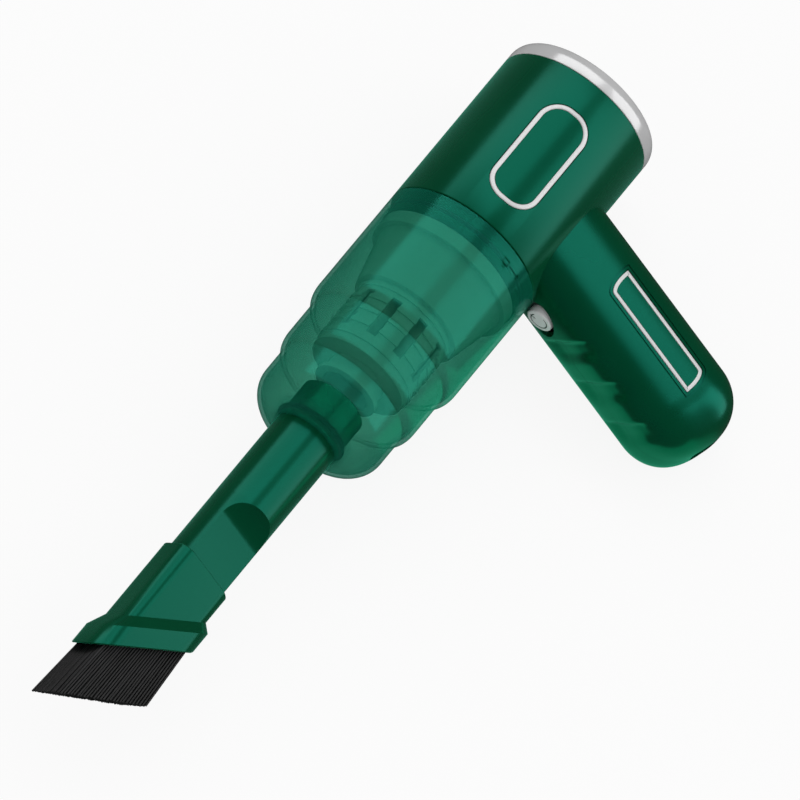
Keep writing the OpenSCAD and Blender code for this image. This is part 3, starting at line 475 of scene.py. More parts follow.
print("lathe ready")

# %% [markdown]
# Every piece is finished in the same way. Pockets and holes are cut with the Boolean modifier, the
# faces are shaded smooth up to an angle, and the piece is laid down with the tool and rides on its
# body.

# %% Helpers that finish a piece
def copy_of(piece, name):
    """A copy of a piece, with its own mesh."""
    twin = piece.copy()
    twin.data = piece.data.copy()
    twin.name = name
    scene.collection.objects.link(twin)
    return twin


def cut(piece, cutter, operation="DIFFERENCE"):
    """Cuts one mesh with another, which is then thrown away."""
    knife = piece.modifiers.new("cut", "BOOLEAN")
    knife.object = cutter
    knife.operation = operation
    knife.solver = "EXACT"
    bpy.ops.object.select_all(action="DESELECT")
    bpy.context.view_layer.objects.active = piece
    bpy.ops.object.modifier_apply(modifier="cut")
    bpy.data.objects.remove(cutter)


def smooth(piece, angle):
    """Smooth shading with sharp edges kept where faces turn by more than the angle."""
    bpy.ops.object.select_all(action="DESELECT")
    piece.select_set(True)
    bpy.context.view_layer.objects.active = piece
    bpy.ops.object.shade_smooth_by_angle(angle=math.radians(angle))


def hand_over(piece, place, body, slot, *nodes, look=None):
    """Lays a finished piece down with the tool, gives it its finish and lets it ride on its body."""
    piece.data.transform(place)
    piece.data.update()
    piece.data.materials.clear()
    piece.data.materials.append(finishes[look or slot])
    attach(piece, body)
    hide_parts(*nodes)
    print(piece.name, "has", len(piece.data.polygons), "faces")


print("finishing helpers ready")

# %% [markdown]
# The inlays are thin slabs set flush in the surface: a racetrack on the barrel and a leaf on the
# handle, each a silver outline with a plate inside. A slab is drawn flat, inset for rows of points
# inside, and pulled up to its thickness. Then every point is dropped onto the curved surface that
# carries it, which a bend couldn't follow.

# %% Helpers for the inlays
INLAY = 0.8
SET_GAP = 0.125
LINE_TOP = -0.02
BEVEL_STEPS, BEVEL_ANGLE = 3, math.radians(50)
SIDES = {"left": 1, "right": -1}


def slab(name, points, low, high, ring=0.0, rows=0, bevel=0.0):
    """A flat slab between two heights; ring leaves only an edge that wide, rows adds points inside."""
    piece = outline_loop(name, points)
    edit(piece)
    if ring:
        bpy.ops.mesh.inset(thickness=ring * MM)
        bpy.ops.mesh.delete(type="FACE")
        bpy.ops.mesh.select_all(action="SELECT")
    for left in range(rows, 0, -1):
        bpy.ops.mesh.inset(thickness=0)
        shrink = left / (left + 1)
        bpy.ops.transform.resize(value=(shrink, shrink, 1), center_override=(0, 0, 0))
    bpy.ops.mesh.select_all(action="SELECT")
    bpy.ops.mesh.extrude_region_move(TRANSFORM_OT_translate={"value": (0, 0, (high - low) * MM)})
    bpy.ops.mesh.select_all(action="SELECT")
    bpy.ops.transform.translate(value=(0, 0, low * MM))
    bpy.ops.mesh.normals_make_consistent(inside=False)
    bpy.ops.object.mode_set(mode="OBJECT")
    if bevel:
        edges = piece.modifiers.new("edge", "BEVEL")
        edges.width = bevel * MM
        edges.segments = BEVEL_STEPS
        edges.limit_method = "ANGLE"
        edges.angle_limit = BEVEL_ANGLE
        bpy.ops.object.modifier_apply(modifier="edge")
    return piece


def drop(piece, surface, shift, side=1):
    """Moves a flat slab's points onto a curved surface, on the tool's left side or mirrored to its right."""
    for vertex in piece.data.vertices:
        x, y, height = (value / MM for value in vertex.co)
        x, y, z = surface(x + shift[0], y + shift[1], height)
        vertex.co = (x * MM, y * MM, side * z * MM)
    if side < 0:
        face_outwards(piece)
    return piece


print("inlays are %.1f mm deep" % INLAY)

# %% [markdown]
# The racetrack is the wide inlay on each side of the barrel. Its dark plate is broad and glossy, so a
# dropped slab would show its rows of points as facets. It is cut out of a finely turned tube instead.

# %% The racetrack's shape
BARREL_R = 33
FINE_TURN = 360
BADGE_X, BADGE_A, BADGE_B, BADGE_ROUND = 35.2, 24, 10.9, 9.5
SLICE_FROM, SLICE_TO, STAMP_HIGH = 4, 66, 60


def racetrack(inset):
    """Outline of the barrel's inlay, drawn in from its edge by inset."""
    return round_box(BADGE_A - inset, BADGE_B - inset, BADGE_ROUND - inset, steps=12)


def on_barrel(x, y, height):
    """A point of the barrel's side, at some height over its surface."""
    return x, y, math.sqrt((BARREL_R + height) ** 2 - y * y)


def slice_of_tube(name, points, low, high, side):
    """The part of a tube round the barrel's axis that lies under the racetrack, on the left or the right."""
    wall = [(SLICE_FROM, low), (SLICE_FROM, high), (SLICE_TO, high), (SLICE_TO, low)]
    tube = turned(name, wall, steps=FINE_TURN)
    stamp = slab("stamp", points, 0, STAMP_HIGH)
    for vertex in stamp.data.vertices:
        vertex.co = (vertex.co.x + BADGE_X * MM, vertex.co.y, side * vertex.co.z)
    if side < 0:
        face_outwards(stamp)
    cut(tube, stamp, "INTERSECT")
    return tube


print("racetrack: %.1f x %.1f mm" % (2 * BADGE_A, 2 * BADGE_B))

# %% [markdown]
# The barrel is a tube with a thinner spigot that the dust cup slips over, and a groove on the spigot
# for the cup's seal. A cylinder with steps cut into it would do, but one outline on the lathe gives all
# of them at once, with their radii. The pockets of the inlays are a little wider than the inlays, which
# leaves a hair line of shadow round the silver.

# %% The barrel
BARREL_IN, BARREL_END, BARREL_FRONT_EDGE, BARREL_REAR_EDGE = 30.6, 72.8, 0.45, 0.3
SPIGOT_R, SPIGOT_IN, SPIGOT_LEN, SPIGOT_EDGE = 30.6, 28.6, 9.8, 0.4
CUP_SEAL_FROM, CUP_SEAL_TO, CUP_SEAL_R = -6.0, -3.8, 29.4
STOP_X = 3
POCKET_GAP = -0.2
POCKET_OVER = 3
barrel = turned("barrel_skin", rounded([
    (-SPIGOT_LEN, SPIGOT_R, SPIGOT_EDGE),
    (CUP_SEAL_FROM, SPIGOT_R, 0), (CUP_SEAL_FROM, CUP_SEAL_R, 0),
    (CUP_SEAL_TO, CUP_SEAL_R, 0), (CUP_SEAL_TO, SPIGOT_R, 0),
    (0, SPIGOT_R, 0), (0, BARREL_R, BARREL_FRONT_EDGE),
    (BARREL_END, BARREL_R, BARREL_REAR_EDGE), (BARREL_END, BARREL_IN, 0),
    (STOP_X, BARREL_IN, 0), (STOP_X, SPIGOT_IN, 0),
    (-SPIGOT_LEN, SPIGOT_IN, SPIGOT_EDGE)]), steps=FINE_TURN)
for side in SIDES.values():
    pocket = racetrack(POCKET_GAP)
    cut(barrel, slice_of_tube("pocket", pocket, BARREL_R - INLAY, BARREL_R + POCKET_OVER, side))
smooth(barrel, angle=30)
hand_over(barrel, TOOL, "barrel", "gloss_green", "barrel")

# %% [markdown]
# Each racetrack is a bevelled silver line, dropped onto the barrel, and a dark plate that lies a little
# deeper.

# %% The racetrack inlays
BADGE_STROKE, BADGE_SUNK = 2, 0.25
for name, side in SIDES.items():
    line = slab("badge_line_" + name, racetrack(SET_GAP), -INLAY, LINE_TOP,
                ring=BADGE_STROKE - SET_GAP, bevel=0.3)
    drop(line, on_barrel, (BADGE_X, 0), side)
    smooth(line, angle=40)
    hand_over(line, TOOL, "barrel", "silver_trim", "badge_frame_" + name)
    plate = slice_of_tube("badge_face_" + name, racetrack(BADGE_STROKE + SET_GAP), BARREL_R - INLAY,
                          BARREL_R - BADGE_SUNK, side)
    smooth(plate, angle=40)
    hand_over(plate, TOOL, "barrel", "deep_green", "badge_plate_" + name)

# %% [markdown]
# The rear ring is a plated band that closes the barrel. A sleeve in front holds it in the bore, a fine
# seam parts it from the barrel, its outer edge rounds over to the flat back, and a lip inside keeps the
# grille. It is spun from one outline, like the barrel.

# %% The rear ring
RING_FROM, RING_BAND_END, RING_END = 65, 76, 80.7
SLEEVE_IN, SLEEVE_OUT = 28.2, 30.2
SEAM_R, SEAM_WIDE, SEAM_EDGE = 32.2, 0.1, 0.25
BACK_R, LIP_IN, LIP_DEEP = 30, 27.2, 3
band = rounded([(BARREL_END, SEAM_R, 0), (BARREL_END + SEAM_WIDE, BARREL_R, SEAM_EDGE),
                (RING_BAND_END, BARREL_R, 0)])[:-1]
rear = turned("rear_ring", [(RING_FROM, SLEEVE_IN), (RING_FROM, SLEEVE_OUT), (BARREL_END, SLEEVE_OUT)]
              + band + quarter(RING_BAND_END, RING_END, BARREL_R, BACK_R)
              + [(RING_END, LIP_IN), (RING_END - LIP_DEEP, LIP_IN), (RING_END - LIP_DEEP, SLEEVE_IN)],
              steps=256)
smooth(rear, angle=40)
hand_over(rear, TOOL, "barrel", "chrome", "exhaust_ring")

# %% [markdown]
# The dust cup is moulded from clear green plastic, with two soft steps and a domed front. Both skins of
# its wall are drawn, because the eye sees both, and the inner one is marked as lining for the clear
# finish. A small lock and a bar, the usual sign for a lid that twists, are sunk into the rim as
# grooves.

# %% The dust cup
CUP_LEN, CUP_WALL, CUP_DOME, CUP_ROUND = 102, 1.4, 12, 6.4
CUP_STEPS, CUP_RADII = (48.5, 71.5), (33, 30.3, 27.8)
MOUTH_R, NECK_IN, RIM_GAP = 14.8, 13.6, 0.4
LOCK_AT, LOCK_LINE, LOCK_DEEP, LOCK_OVER = (-5.9, -18.1), 0.5, 1.0, 1
LOCK_BODY, LOCK_BOW = rectangle(-1.3, 1.3, 1, 4), rectangle(-2.6, -1.3, 1.6, 3.4)
LOCK_BAR, LOCK_FOOT = rectangle(-0.25, 0.25, -4, 0.4), rectangle(-1.2, 1.2, -4.5, -4)


def cup_skin(t):
    """The cup's outline from the rim to the mouth, moved in by t."""
    radii = [radius - t for radius in CUP_RADII]
    points = [(-RIM_GAP, radii[0])]
    for x, wide, narrow in zip(CUP_STEPS, radii, radii[1:]):
        points += quarter(t / 2 - x, t / 2 - x - CUP_ROUND, wide, narrow)
    return points + quarter(CUP_DOME - CUP_LEN, t - CUP_LEN, radii[-1], MOUTH_R)


cup = turned("cup_shell", cup_skin(0) + [(-CUP_LEN, NECK_IN), (CUP_WALL - CUP_LEN, NECK_IN)]
             + cup_skin(CUP_WALL)[::-1], steps=192)
for corners, ring in ((LOCK_BODY, LOCK_LINE), (LOCK_BOW, LOCK_LINE), (LOCK_BAR, 0), (LOCK_FOOT, 0)):
    cut(cup, drop(slab("mark", corners, -LOCK_DEEP, LOCK_OVER, ring=ring), on_barrel, LOCK_AT))
smooth(cup, angle=35)
lining = cup.data.attributes.new(LINING, "FLOAT", "FACE")
for face in cup.data.polygons:
    outwards = Vector((0, face.center.y, face.center.z)).dot(face.normal)
    lining.data[face.index].value = 1.0 if outwards < 0 else 0.0
hand_over(cup, TOOL, "cup", "clear_green", "dust_cup")

# %% [markdown]
# A short neck runs back inside the mouth and holds the nozzle and its seal. It belongs to the cup, but
# it is a piece of its own here, because its plastic looks paler: the nozzle shows through it. A hair of
# air parts the two, as faces in the same place would flicker.

# %% The cup's neck
NECK_LEN, NECK_OUT, HAIR = 7, 16.4, 0.02
SEAL_X, SEAL_ROOM, SEAL_R = 4, 0.95, 15.3
neck_front, neck_back = CUP_WALL - CUP_LEN + HAIR, NECK_LEN - CUP_LEN
seal_front, seal_back = SEAL_X - SEAL_ROOM - CUP_LEN, SEAL_X + SEAL_ROOM - CUP_LEN
neck = turned("cup_neck", [
    (neck_front, NECK_IN), (seal_front, NECK_IN), (seal_front, SEAL_R), (seal_back, SEAL_R),
    (seal_back, NECK_IN), (neck_back, NECK_IN), (neck_back, NECK_OUT), (neck_front, NECK_OUT)], steps=128)
smooth(neck, angle=35)
hand_over(neck, TOOL, "cup", "clear_green", "dust_cup", look="clear_neck")

# %% [markdown]
# The handle is one rounded column in two halves. Its section is a squarish oval that stays the same
# down to the rounded end. The oval's formula crowds its points at the corners, so they are spread
# evenly along the way round, which keeps the faces of the column alike.

# %% The handle's section
HANDLE_A, HANDLE_B, HANDLE_POWER = 22, 18.92, 3.4
FINE_STEPS = 1440


def section(a, b, power, count):
    """Points at even steps round a squarish oval, with the way to each from the front, left as plus."""
    fine = []
    for i in range(FINE_STEPS + 1):
        turn = math.radians(180 + 360 * i / FINE_STEPS)
        c, s = math.cos(turn), math.sin(turn)
        u = math.copysign(a * abs(c) ** (2 / power), c)
        fine.append((u, math.copysign(b * abs(s) ** (2 / power), s)))
    lengths = [0.0]
    for p, q in zip(fine, fine[1:]):
        lengths.append(lengths[-1] + math.dist(p, q))
    points, k = [], 0
    for i in range(count + 1):
        goal = lengths[-1] * i / count
        while k < len(fine) - 2 and lengths[k + 1] < goal:
            k += 1
        part = (goal - lengths[k]) / (lengths[k + 1] - lengths[k])
        u = fine[k][0] + part * (fine[k + 1][0] - fine[k][0])
        z = fine[k][1] + part * (fine[k + 1][1] - fine[k][1])
        points.append((u, z, -goal if 2 * i < count else lengths[-1] - goal))
    return points


print("the handle is %.1f x %.1f mm thick" % (2 * HANDLE_A, 2 * HANDLE_B))

# %% [markdown]
# Three finger dents lie under one another on the handle's front. Each runs from the front down to the
# left, with a crisp upper edge, a soft lower one and ends that fade out. They could be sculpted or cut,
# but as a formula for their depth they keep their soft ends and can be moved.

# %% The finger dents
DENTS, DENT_TOP, DENT_PITCH, DENT_DEPTH = 3, 56.7, 19.2, 1.4
DENT_UPPER, DENT_HIGH, DENT_LOWER, DENT_EDGE, DENT_FADE = 0.51, 12.5, 0.36, 0.15, 0.5
DENT_FROM, DENT_TO = (-11, -2), (10, 19.5)


def step_up(low, high, value):
    """A smooth step from zero at low to one at high."""
    part = min(1.0, max(0.0, (value - low) / (high - low)))
    return part * part * (3 - 2 * part)


def dent(way, t):
    """Depth of the finger dents at a place on the handle's skin; way runs from the front to the left."""
    share = step_up(*DENT_FROM, way) * (1 - step_up(*DENT_TO, way))
    depth = 0.0
    for i in range(DENTS):
        upper = DENT_TOP + i * DENT_PITCH + DENT_UPPER * way
        lower = DENT_TOP + i * DENT_PITCH + DENT_HIGH + DENT_LOWER * way
        part = (t - upper) / (lower - upper)
        profile = step_up(0, DENT_EDGE, part) * (1 - step_up(DENT_FADE, 1.0, part))
        depth = max(depth, DENT_DEPTH * share * profile)
    return depth


print("%d dents, %.1f mm deep" % (DENTS, DENT_DEPTH))

# %% [markdown]
# A grid is wrapped round to make the column: its width becomes the way round the section and its height
# the way down the handle and over the rounded end. The dents are pressed in as it is wrapped. A second
# column, without dents and a wall's thickness smaller, is the room inside.

# %% The handle's column
HANDLE_TOP, HANDLE_LEN, HANDLE_DOME, HANDLE_WALL = 20, 102.7, 19.85, 2.4
DOME_FULL, ROOM_POWER, ROOM_RISE = 0.8, 2.4, 1
POLE_WELD = 0.01 * MM


def wrapped(name, across, along, place, weld=WELD):
    """A grid whose point (i, j) goes to place(i, j) in millimetres, with its seam and ends closed."""
    bpy.ops.object.select_all(action="DESELECT")
    bpy.ops.mesh.primitive_grid_add(x_subdivisions=across, y_subdivisions=along, size=1)
    piece = bpy.context.object
    piece.name = name
    for vertex in piece.data.vertices:
        i = round((vertex.co.x + 0.5) * across)
        j = round((vertex.co.y + 0.5) * along)
        vertex.co = [value * MM for value in place(i, j)]
    edit(piece)
    bpy.ops.mesh.remove_doubles(threshold=weld)
    bpy.ops.mesh.select_all(action="DESELECT")
    bpy.ops.mesh.select_non_manifold()
    bpy.ops.mesh.edge_face_add()
    bpy.ops.mesh.select_all(action="SELECT")
    bpy.ops.mesh.normals_make_consistent(inside=False)
    bpy.ops.object.mode_set(mode="OBJECT")
    return piece


def column(name, inset, power, top, around, rows, dome_rows, dents=False):
    """The handle's column, moved in by inset, in the handle's own frame."""
    ring = section(HANDLE_A - inset, HANDLE_B - inset, power, around)

    def place(i, j):
        u, z, way = ring[i]
        if j <= rows:
            t, share = top + (HANDLE_LEN - top) * j / rows, 1.0
        else:
            angle = math.pi / 2 * (j - rows) / dome_rows
            t = HANDLE_LEN + (HANDLE_DOME - inset) * math.sin(angle)
            share = max(math.cos(angle), 0.0) ** DOME_FULL
        if dents:
            press = 1 - dent(way, t) / math.hypot(u, z)
            u, z = u * press, z * press
        return u * share, -t, z * share

    return wrapped(name, around, rows + dome_rows, place, POLE_WELD)


grip = column("grip", 0, HANDLE_POWER, HANDLE_TOP, around=240, rows=130, dome_rows=30, dents=True)
room = column("room", HANDLE_WALL, ROOM_POWER, HANDLE_TOP - ROOM_RISE, around=96, rows=8, dome_rows=16)
print("handle column has", len(grip.data.polygons), "faces")

# %% [markdown]
# The column is set at its lean and hollowed, which leaves four screw posts. It is then cut to sit on
# the barrel and to clear the cup's rim, and gets the button's hole, the charge recess at its end and
# the screw holes on its right side. Each of these is a plain cutter, and cutting them in this order
# keeps the posts whole.

# %% The handle's hollow and holes
HANDLE_X = 32.3
LEAN = Matrix.Translation((HANDLE_X * MM, 0, 0)) @ Matrix.Rotation(-lean, 4, "Z")
TOP_SCREWS, LOW_SCREW_U, LOW_SCREW_T = [(21.5, -42.5), (33.5, -42.5)], 12.5, 112
POST_R, POST_HALF = 4.4, 25
HEAD_R, HEAD_SEAT, THREAD_R, THREAD_END, BESIDE = 3.05, -11, 1.65, 9, -30
SADDLE_GAP, SADDLE_FROM, BEHIND = 0.05, 0.6, 80
RIM_ROOM, RIM_ROOM_TO, AHEAD = 0.6, 0.7, -40
BUTTON_Y, GUIDE_R, GUIDE_TO = -39.3, 7.5, 6
RECESS_A, RECESS_B, RECESS_ROUND, RECESS_FLOOR, BELOW = 6.3, 3.4, 2, 116.8, 130


def post(name, radius, x, y, z, steps=48):
    """A round post along Z between two heights."""
    bpy.ops.object.select_all(action="DESELECT")
    bpy.ops.mesh.primitive_cylinder_add(vertices=steps, radius=radius * MM, depth=(z[1] - z[0]) * MM)
    piece = bpy.context.object
    piece.name = name
    piece.data.transform(Matrix.Translation((x * MM, y * MM, (z[0] + z[1]) / 2 * MM)))
    return piece


def rod(name, radius, x, y=0.0, steps=128):
    """A round rod along X between two places."""
    piece = post(name, radius, 0, 0, x, steps)
    piece.data.transform(Matrix.Translation((0, y * MM, 0)) @ Matrix.Rotation(math.pi / 2, 4, "Y"))
    return piece


low_screws = [LEAN @ Vector((side * LOW_SCREW_U * MM, -LOW_SCREW_T * MM, 0)) / MM for side in (-1, 1)]
screws = TOP_SCREWS + [(spot.x, spot.y) for spot in low_screws]
for piece in (grip, room):
    piece.data.transform(LEAN)
for x, y in screws:
    cut(room, post("post", POST_R, x, y, (-POST_HALF, POST_HALF)))
cut(grip, room)
cut(grip, rod("saddle", BARREL_R + SADDLE_GAP, (SADDLE_FROM, BEHIND), steps=256))
cut(grip, rod("rim_room", BARREL_R + RIM_ROOM, (AHEAD, RIM_ROOM_TO), steps=256))
cut(grip, rod("guide_hole", GUIDE_R, (AHEAD, GUIDE_TO), BUTTON_Y))
recess = slab("recess", round_box(RECESS_A, RECESS_B, RECESS_ROUND, steps=5), RECESS_FLOOR, BELOW)
recess.data.transform(LEAN @ Matrix.Rotation(math.pi / 2, 4, "X"))
cut(grip, recess)
for x, y in screws:
    cut(grip, post("head_hole", HEAD_R, x, y, (BESIDE, HEAD_SEAT)))
    cut(grip, post("thread_hole", THREAD_R, x, y, (BESIDE, THREAD_END)))
print("hollow handle has", len(grip.data.polygons), "faces")

# %% [markdown]
# The leaf is the handle's inlay, with two round and two sharp corners. Each of its ends is an arc of an
# ellipse that starts at a sharp corner and sweeps round to the other side, and the second end is the
# first one turned by half a turn. A pocket takes the leaf, and a fine groove runs round it at a
# distance.

# %% The leaf's pocket and groove
LEAF_A, LEAF_B, LEAF_END_A, LEAF_END_B = 5.5, 25.6, 13, 5
LEAF_AT, LEAF_STROKE, LEAF_ROWS = (5.4, -77.3), 1.6, 4
GROOVE_OUT, GROOVE_DEEP, GROOVE_WIDE, LEAF_OVER = 1.7, 0.5, 0.45, 1.5


def leaf(inset, steps=21):
    """Outline of the handle's inlay, drawn in from its edge by inset."""
    u, t = LEAF_END_A - LEAF_A, LEAF_B - LEAF_END_B
    first = math.acos((LEAF_A - inset - u) / (LEAF_END_A - inset))
    end = []
    for i in range(steps + 1):
        angle = first + (math.pi - first) * i / steps
        end.append((u + (LEAF_END_A - inset) * math.cos(angle), t + (LEAF_END_B - inset) * math.sin(angle)))
    return end + [(-across, -along) for across, along in end]


def on_handle(u, t, height):
    """A point of the handle's side, at some height over its surface."""
    return u, t, HANDLE_B * (1 - abs(u / HANDLE_A) ** HANDLE_POWER) ** (1 / HANDLE_POWER) + height


for side in SIDES.values():
    pocket = slab("pocket", leaf(POCKET_GAP), -INLAY, LEAF_OVER, rows=LEAF_ROWS)
    groove = slab("groove", leaf(-GROOVE_OUT), -GROOVE_DEEP, LEAF_OVER, ring=GROOVE_WIDE)
    for cutter in (pocket, groove):
        drop(cutter, on_handle, LEAF_AT, side)
        cutter.data.transform(LEAN)
        cut(grip, cutter)
print("handle with pockets has", len(grip.data.polygons), "faces")

# %% [markdown]
# The handle is moulded in two halves that meet in the middle. Two copies of the column are cut, each by
# a block that takes away the other side, and a hair of air is left between them.

# %% The handle's halves
PART_GAP = 0.05
OTHER_SIDE, OTHER_HIGH = rectangle(-90, 90, -150, 60), 60
for name, side in SIDES.items():
    half = copy_of(grip, "grip_" + name)
    other = slab("other", OTHER_SIDE, 0, OTHER_HIGH)
    shift = PART_GAP - OTHER_HIGH if side > 0 else -PART_GAP
    other.data.transform(Matrix.Translation((0, 0, shift * MM)))
    cut(half, other)
    smooth(half, angle=32)
    hand_over(half, TOOL, "barrel", "gloss_green", "handle_" + name, look="grip_green")
bpy.data.objects.remove(grip)

# %% [markdown]
# Each leaf is a bevelled silver line with a green plate inside it. Both are dropped slabs, and the
# plate gets rows of points inside so that it can follow the curve of the handle.

# %% The leaf inlays
LEAF_SUNK = 0.2
for name, side in SIDES.items():
    line = slab("leaf_line_" + name, leaf(SET_GAP), -INLAY, LINE_TOP,
                ring=LEAF_STROKE - SET_GAP, bevel=0.25)
    drop(line, on_handle, LEAF_AT, side)
    smooth(line, angle=40)
    hand_over(line, TOOL @ LEAN, "barrel", "silver_trim", "window_frame_" + name)
    plate = slab("leaf_face_" + name, leaf(LEAF_STROKE + SET_GAP), -INLAY, -LEAF_SUNK, rows=LEAF_ROWS)
    drop(plate, on_handle, LEAF_AT, side)
    smooth(plate, angle=40)
    hand_over(plate, TOOL @ LEAN, "barrel", "gloss_green", "window_plate_" + name, look="grip_green")

# %% [markdown]
# The push button is turned, with a rounded rim, a flange that keeps it in its guide and a stem for the
# switch. A broken ring and a bar, the general sign for power, are cut into its face and filled with a
# dark inlay. The cutter and the inlay are copies of one shape, so that they fit.

# %% The push button
BUTTON_FACE, BUTTON_R, BUTTON_EDGE = -2.3, 5.5, 0.7
FLANGE_FROM, FLANGE_TO, FLANGE_R = 5.2, 6.2, 5.9
STEM_END, STEM_R, STEM_EDGE = 9.8, 1.6, 0.3
SIGN_OVER, SIGN_TOP, SIGN_DEEP, SIGN_CLEAR = -3, -2.2, 0.3, 6
SIGN_IN, SIGN_OUT, SIGN_TURN, SIGN_FROM = 3.3, 3.85, math.radians(290), math.radians(35)
BAR_HALF, BAR_FROM, BAR_TO, BAR_OVER = 0.28, 1.6, 4.3, -0.4
BUTTON = TOOL @ Matrix.Translation((0, BUTTON_Y * MM, 0))
button = turned("push_button", rounded([
    (BUTTON_FACE, 0, 0), (BUTTON_FACE, BUTTON_R, BUTTON_EDGE), (FLANGE_FROM, BUTTON_R, 0),
    (FLANGE_FROM, FLANGE_R, 0), (FLANGE_TO, FLANGE_R, 0), (FLANGE_TO, STEM_R, 0),
    (STEM_END, STEM_R, STEM_EDGE), (STEM_END, 0, 0)]), steps=96)
sign_floor = BUTTON_FACE + SIGN_DEEP
groove = outline_loop("groove", [
    (SIGN_OVER, SIGN_IN), (SIGN_OVER, SIGN_OUT), (sign_floor, SIGN_OUT), (sign_floor, SIGN_IN)])
edit(groove)
bpy.ops.mesh.spin(steps=60, angle=SIGN_TURN, center=(0, 0, 0), axis=(1, 0, 0))
bpy.ops.mesh.select_all(action="SELECT")
bpy.ops.mesh.normals_make_consistent(inside=False)
bpy.ops.object.mode_set(mode="OBJECT")
groove.data.transform(Matrix.Rotation(SIGN_FROM, 4, "X"))
bar = slab("bar", rectangle(BAR_HALF, -BAR_HALF, BAR_FROM, BAR_TO), BAR_OVER, SIGN_DEEP)
bar.data.transform(Matrix.Translation((BUTTON_FACE * MM, 0, 0)) @ Matrix.Rotation(math.pi / 2, 4, "Y"))
sign = copy_of(groove, "power_sign")
cut(sign, copy_of(bar, "stroke"), "UNION")
cut(sign, rod("over_face", SIGN_CLEAR, (-SIGN_CLEAR, SIGN_TOP)))
cut(button, groove)
cut(button, bar)
smooth(button, angle=35)
smooth(sign, angle=35)
hand_over(sign, BUTTON, "button", "chrome", "power_button", look="black_plastic")
hand_over(button, BUTTON, "button", "chrome", "power_button", look="bright_chrome")

# %% [markdown]
# The nozzle is a round tube that is pressed flat towards its mouth. Each cross section is the tube's
# circle with its top and bottom cut off, so a loft needs only the height of that cut along the tube:
# none at first, then the curve of the scoops, then the flats. The mouth is cut on a slant. Bore and
# slot are taken out at the end.

# %% Helpers for the nozzle and the brush
SLANT = math.tan(math.radians(41))


def loft(name, rings):
    """A closed solid through rings with equal numbers of points, in millimetres."""
    count = len(rings[0])
    return wrapped(name, count, len(rings) - 1, lambda i, j: rings[j][i % count])


def cut_circle(radius, height, flat_steps=12, arc_steps=40):
    """A circle whose top and bottom are cut off at a height, as (y, z) points."""
    edge = math.acos(min(height / radius, 1.0))
    half_flat = radius * math.sin(edge)
    points = []
    for sign in (1, -1):
        for i in range(flat_steps):
            points.append((sign * half_flat * (1 - 2 * i / flat_steps), sign * radius * math.cos(edge)))
        for i in range(arc_steps):
            angle = edge + (math.pi - 2 * edge) * i / arc_steps
            points.append((-sign * radius * math.sin(angle), sign * radius * math.cos(angle)))
    return points


def level(points, x):
    """A cross section at one place along the tube."""
    return [(x, y, z) for y, z in points]


def slanted(points, x):
    """A cross section laid on the slant of the mouth."""
    return [(x - y * SLANT, y, z) for y, z in points]


print("the mouth's slant is %.2f mm for each mm across" % SLANT)

# %% [markdown]
# The nozzle's flats stand at an angle to the handle, because it can be turned in the cup's neck. Its
# tail, the spigot inside the cup, is a piece of its own in a paler, glossier copy of the nozzle's green:
# painted light, which stands in for the light that the clear wall keeps from it.

# %% The nozzle
NOZZLE_ROLL = math.radians(30)
NOZZLE = TOOL @ Matrix.Rotation(NOZZLE_ROLL, 4, "X")
TUBE_R, TUBE_IN, TAIL_END, TAIL_FROM, TAIL_EDGE = 13.4, 11.6, -83.5, -101.4, 0.4
FLAT_X, FLAT_H, SCOOP_R, SCOOP_ROWS = -152, 7.2, 12, 24
TUBE_ROWS, FLAT_ROW, TIP_X = (-110, -130), -170, -206.5
BORE_END, BORE_PAST = -138.2, -70
SLOT_H, SLOT_FROM, SLOT_PAST = 5.4, -138, -260
scoop_from = math.sqrt(SCOOP_R ** 2 - (SCOOP_R + FLAT_H - TUBE_R) ** 2)
rings = [level(cut_circle(TUBE_R, TUBE_R), x) for x in (TAIL_FROM, *TUBE_ROWS)]
for i in range(SCOOP_ROWS + 1):
    back = scoop_from * math.cos(math.pi / 2 * i / SCOOP_ROWS)
    height = FLAT_H + SCOOP_R - math.sqrt(SCOOP_R ** 2 - back ** 2)
    rings.append(level(cut_circle(TUBE_R, min(height, TUBE_R)), FLAT_X + back))
flat = cut_circle(TUBE_R, FLAT_H)
rings += [level(flat, FLAT_ROW), slanted(flat, TIP_X)]
nozzle = loft("nozzle_skin", rings)
cut(nozzle, rod("bore", TUBE_IN, (BORE_END, BORE_PAST)))
slot = cut_circle(TUBE_IN, SLOT_H)
cut(nozzle, loft("slot", [level(slot, SLOT_FROM), level(slot, SLOT_PAST)]))
smooth(nozzle, angle=30)
hand_over(nozzle, NOZZLE, "nozzle", "gloss_green", "crevice_nozzle")
# The spigot gets the paler green, painted light for the light that the cup's wall keeps from it.
spigot = turned("nozzle_spigot", rounded([
    (TAIL_END, TUBE_IN, 0), (TAIL_END, TUBE_R, TAIL_EDGE),
    (TAIL_FROM, TUBE_R, 0), (TAIL_FROM, TUBE_IN, 0)]), steps=128)
smooth(spigot, angle=30)
hand_over(spigot, NOZZLE, "nozzle", "gloss_green", "crevice_nozzle", look="spigot_painted_lit_green")

# %% [markdown]
# The brush shoe is a sleeve over the flat of the nozzle that flares into a collar with a slanted front.
# It is lofted through rounded boxes: level ones at the rear, slanted ones from the flare on. Its edges
# are eased by rings that stand a little inside their neighbours. Sleeve, mouth and bristle pocket are
# taken out after.

